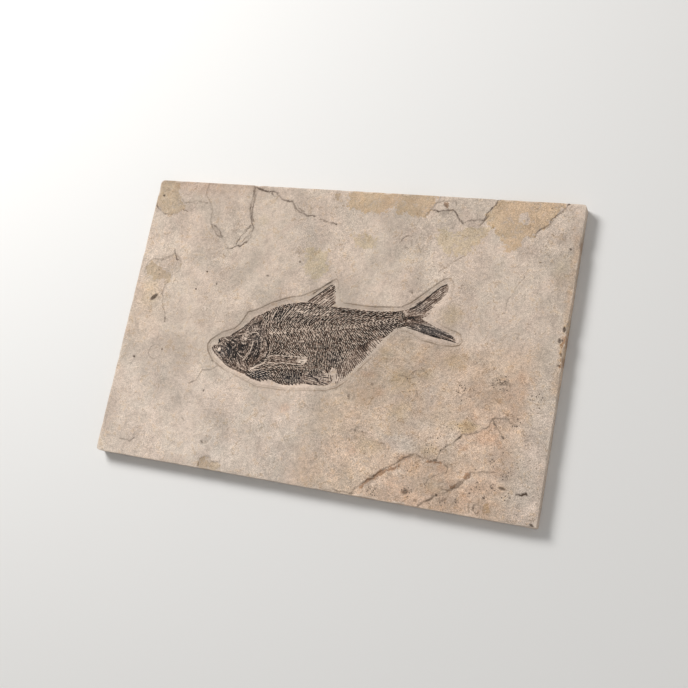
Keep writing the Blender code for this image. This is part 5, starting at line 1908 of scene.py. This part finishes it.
# for each fin: the line it grows from and the line of its tips, coarse cells, tone of the film
# between its rays, the rays, and single bones as tone, width and line
finForms = {
    "dorsal_fin": {
        "base": stretchOf(back, 0.31, 0.475, (0, -0.8)),
        "tips": ((-3.2, 30.6), (-1.2, 29.2), (0.2, 27), (0.8, 24.6), (1.2, 21.6), (1.9, 19)),
        "coarse": (8, 5), "filmTone": 0.04, "apart": 1.08, "lengths": (4, 10), "width": 0.6,
        "boneTone": -0.6, "cool": 0.0, "seed": 10,
        "bones": (
            (-0.6, 0.8, ((-16.4, 18.4), (-12.6, 21.6), (-8.4, 25.2), (-4, 29.4), (-2.6, 30.8))),
            (-0.45, 0.6, ((-11, 19.4), (-6.4, 23.6), (-2, 28), (-1.2, 28.9))),
        ),
    },
    "anal_fin": {
        "base": stretchOf(belly, 0.585, 0.835, (-0.6, 0.8)),
        "tips": ((10.4, -29.4), (14.6, -27.2), (18.4, -22.6), (20.6, -19), (26, -13.2), (30.8, -5.4),
                 (33.6, -1), (34.8, 0.4)),
        "coarse": (12, 4), "filmTone": 0.02, "apart": 1.05, "lengths": (6, 11), "width": 0.56,
        "boneTone": -0.55, "cool": 0.1, "seed": 8,
        "bones": (),
    },
    "tail_fin": {
        "base": [(45.2, 8.2), (45.6, 14), (45.2, 19.9)],
        "tips": ((77, 3.6), (74.4, 6.6), (70, 9.2), (62, 11.6), (55.6, 14), (54, 15.4), (57.4, 17.4),
                 (61.2, 21.4), (65.2, 28), (66.4, 32), (65.5, 36.5)),
        "coarse": (14, 12), "filmTone": -0.07, "apart": 0.94, "lengths": (5, 12), "width": 0.5,
        "boneTone": -0.38, "cool": 0.35, "seed": 8,
        "bones": (
            (-0.6, 0.9, ((45.6, 19.6), (48.6, 21.2), (52, 24), (56, 28.4))),
            (-0.6, 0.8, ((54.5, 26.6), (58.4, 31), (62, 34.4), (65.4, 36.4))),
            (-0.62, 0.9, ((45.8, 14.6), (47.6, 14.8), (49.4, 14.4), (50.8, 13.8))),
            (-0.5, 0.7, ((46, 9.2), (50, 8.4), (55, 7.8), (60, 6.8))),
            (-0.7, 0.9, ((59.6, 6.5), (62.4, 5.8), (65, 5.3), (67.4, 5.2))),
            (-0.66, 0.8, ((67, 5.3), (70, 4.8), (73.4, 4.2), (76.8, 3.5))),
            (-0.6, 0.7, ((66, 8.4), (69.6, 6.9), (72.4, 6.0), (74.2, 5.9))),
            (-0.5, 0.6, ((48, 12.6), (53, 11.6), (58, 10.8), (62.4, 10.4))),
            (0.2, 0.5, ((50.6, 16.6), (53, 17.4), (56.4, 17.2))),
            (0.2, 0.5, ((52.6, 10.4), (53.4, 9.6), (54.6, 8.8))),
        ),
    },
    "pelvic_fin": {
        "base": [(-11.4, -30.4), (-11, -24.9)],
        "tips": ((1, -30.4), (5.6, -29.6), (8.6, -27.4), (8.6, -22.4)),
        "coarse": (6, 4), "filmTone": 0.0, "apart": 1.1, "lengths": (2, 6), "width": 0.7,
        "boneTone": -0.5, "cool": 0.5, "seed": 10,
        "bones": (
            (-0.5, 0.7, ((-9.6, -25.3), (-5, -25.7), (-1, -26.8), (1.4, -28.6))),
            (0.15, 0.5, ((-9, -28.4), (-6.4, -28.2), (-4, -28.8))),
        ),
    },
}

finRays = {
    "thick": 0.28,
    "singleThick": 0.34,
    "toneSpread": 0.1,
    "sunk": 0.05,  # how far they lie below the level of the body
    "keep": 0.45,
    "filmCuts": 9,
}


def finLevel(x, y):
    return onCrust(x, y) - finRays["sunk"]


def addFin(node):
    form = finForms[node]
    rng = np.random.default_rng(7 * form["seed"])
    base, tips = list(form["base"]), list(form["tips"])
    crust = addCrust(node + "Film", (base[0], tips[0]), (base[-1], tips[-1]), base, tips,
                     form["coarse"], finRays["filmCuts"], finLevel, 250 + form["seed"])
    setAttribute(crust, "tone", readTone(crust) + form["filmTone"])
    dress(crust, node, finBone)
    pieces = []
    for path in evenLines(base + tips[::-1], form["apart"], *form["lengths"], rng, finRays["keep"]):
        x, y = path[len(path) // 2]
        if isBare(x, y):
            continue
        tone, cool = boneTone(x, y, form["boneTone"] + rng.normal(0, finRays["toneSpread"]), 1.0)
        pieces.append(layBone(longBone, path, form["width"] * rng.uniform(*slightly), finRays["thick"],
                              finLevel, tone, max(cool, form["cool"])))
    for tone, width, path in form["bones"]:
        pieces.append(layBone(longBone, path, width, finRays["singleThick"], finLevel, tone, form["cool"]))
    dress(joinPieces(node + "Rays", pieces), node, finBone)


for node in finForms:
    addFin(node)
print("fins made")


# the pectoral fin lies over the ribs and has kept little of its dark bone
pectoralForm = {
    "upper": ((-34.2, -18), (-32, -16.7), (-30, -16), (-24, -16), (-18, -15.5), (-9, -15.3)),
    "lower": ((-33.2, -20.9), (-29, -21), (-23, -20), (-15, -20), (-11.4, -19.9)),
    "end": ((-11.4, -19.9), (-10, -18.6), (-8.8, -16.8), (-9, -15.3)),
    "rise": 0.2,
    "worn": (0.5, -12.0, -17.4, 4.6, 2.2),  # paler, where only the print is left
    "filmTone": (-0.3, -0.34, 0.4),  # shift, lowest and highest tone of its film
    "edgeParts": 6,
    "edgeTone": (0.46, 0.08),
    "rays": 4,
    "rayParts": 4,
    "rayTone": (-0.5, 0.1),
}


def pectoralLevel(x, y):
    return onCrust(x, y) + pectoralForm["rise"]


def addPectoral():
    rng = np.random.default_rng(83)
    form = pectoralForm
    lower, upper = form["lower"], form["upper"]
    film = addCrust("pectoralFilm", lower, upper, (lower[0], upper[0]), form["end"], (12, 3), 9,
                    pectoralLevel, 271)
    x, y = readVertices(film)[:, :2].T
    streaky = 0.35 * brushed(x, y, 0.8, 2.0, 89)
    shift, lowest, highest = form["filmTone"]
    tone = readTone(film) + shift + (1.5 + streaky) * sumOfPlaces(x, y, (form["worn"],))
    setAttribute(film, "tone", np.clip(tone, lowest, highest))
    dress(film, "pectoral_fin", paleBone)
    pieces = []
    tone, spread = form["edgeTone"]
    count = form["edgeParts"]
    for path in (upper, lower):
        for k in range(count):
            at = np.linspace(k / count, (k + 0.94) / count, 6)
            part = alongPath(path, at) + rng.normal(0, 0.08, 2)
            pieces.append(layBone(shortBone, part, 0.66, 0.4, pectoralLevel, tone + rng.normal(0, spread)))
    tone, spread = form["rayTone"]
    for k in range(form["rays"]):
        share = (k + 1) / (form["rays"] + 1)
        for step in range(form["rayParts"]):
            at = np.linspace(0.04 + 0.19 * step, 0.2 + 0.19 * step, 6)
            part = alongPath(lower, at) * (1 - share) + alongPath(upper, at) * share
            pieces.append(layBone(shortBone, part, 0.6, 0.24, pectoralLevel, tone + rng.normal(0, spread)))
    dress(joinPieces("pectoralRays", pieces), "pectoral_fin", paleBone)


addPectoral()
for template in (shortBone, longBone):
    bpy.data.objects.remove(template)
print("pectoral fin made")
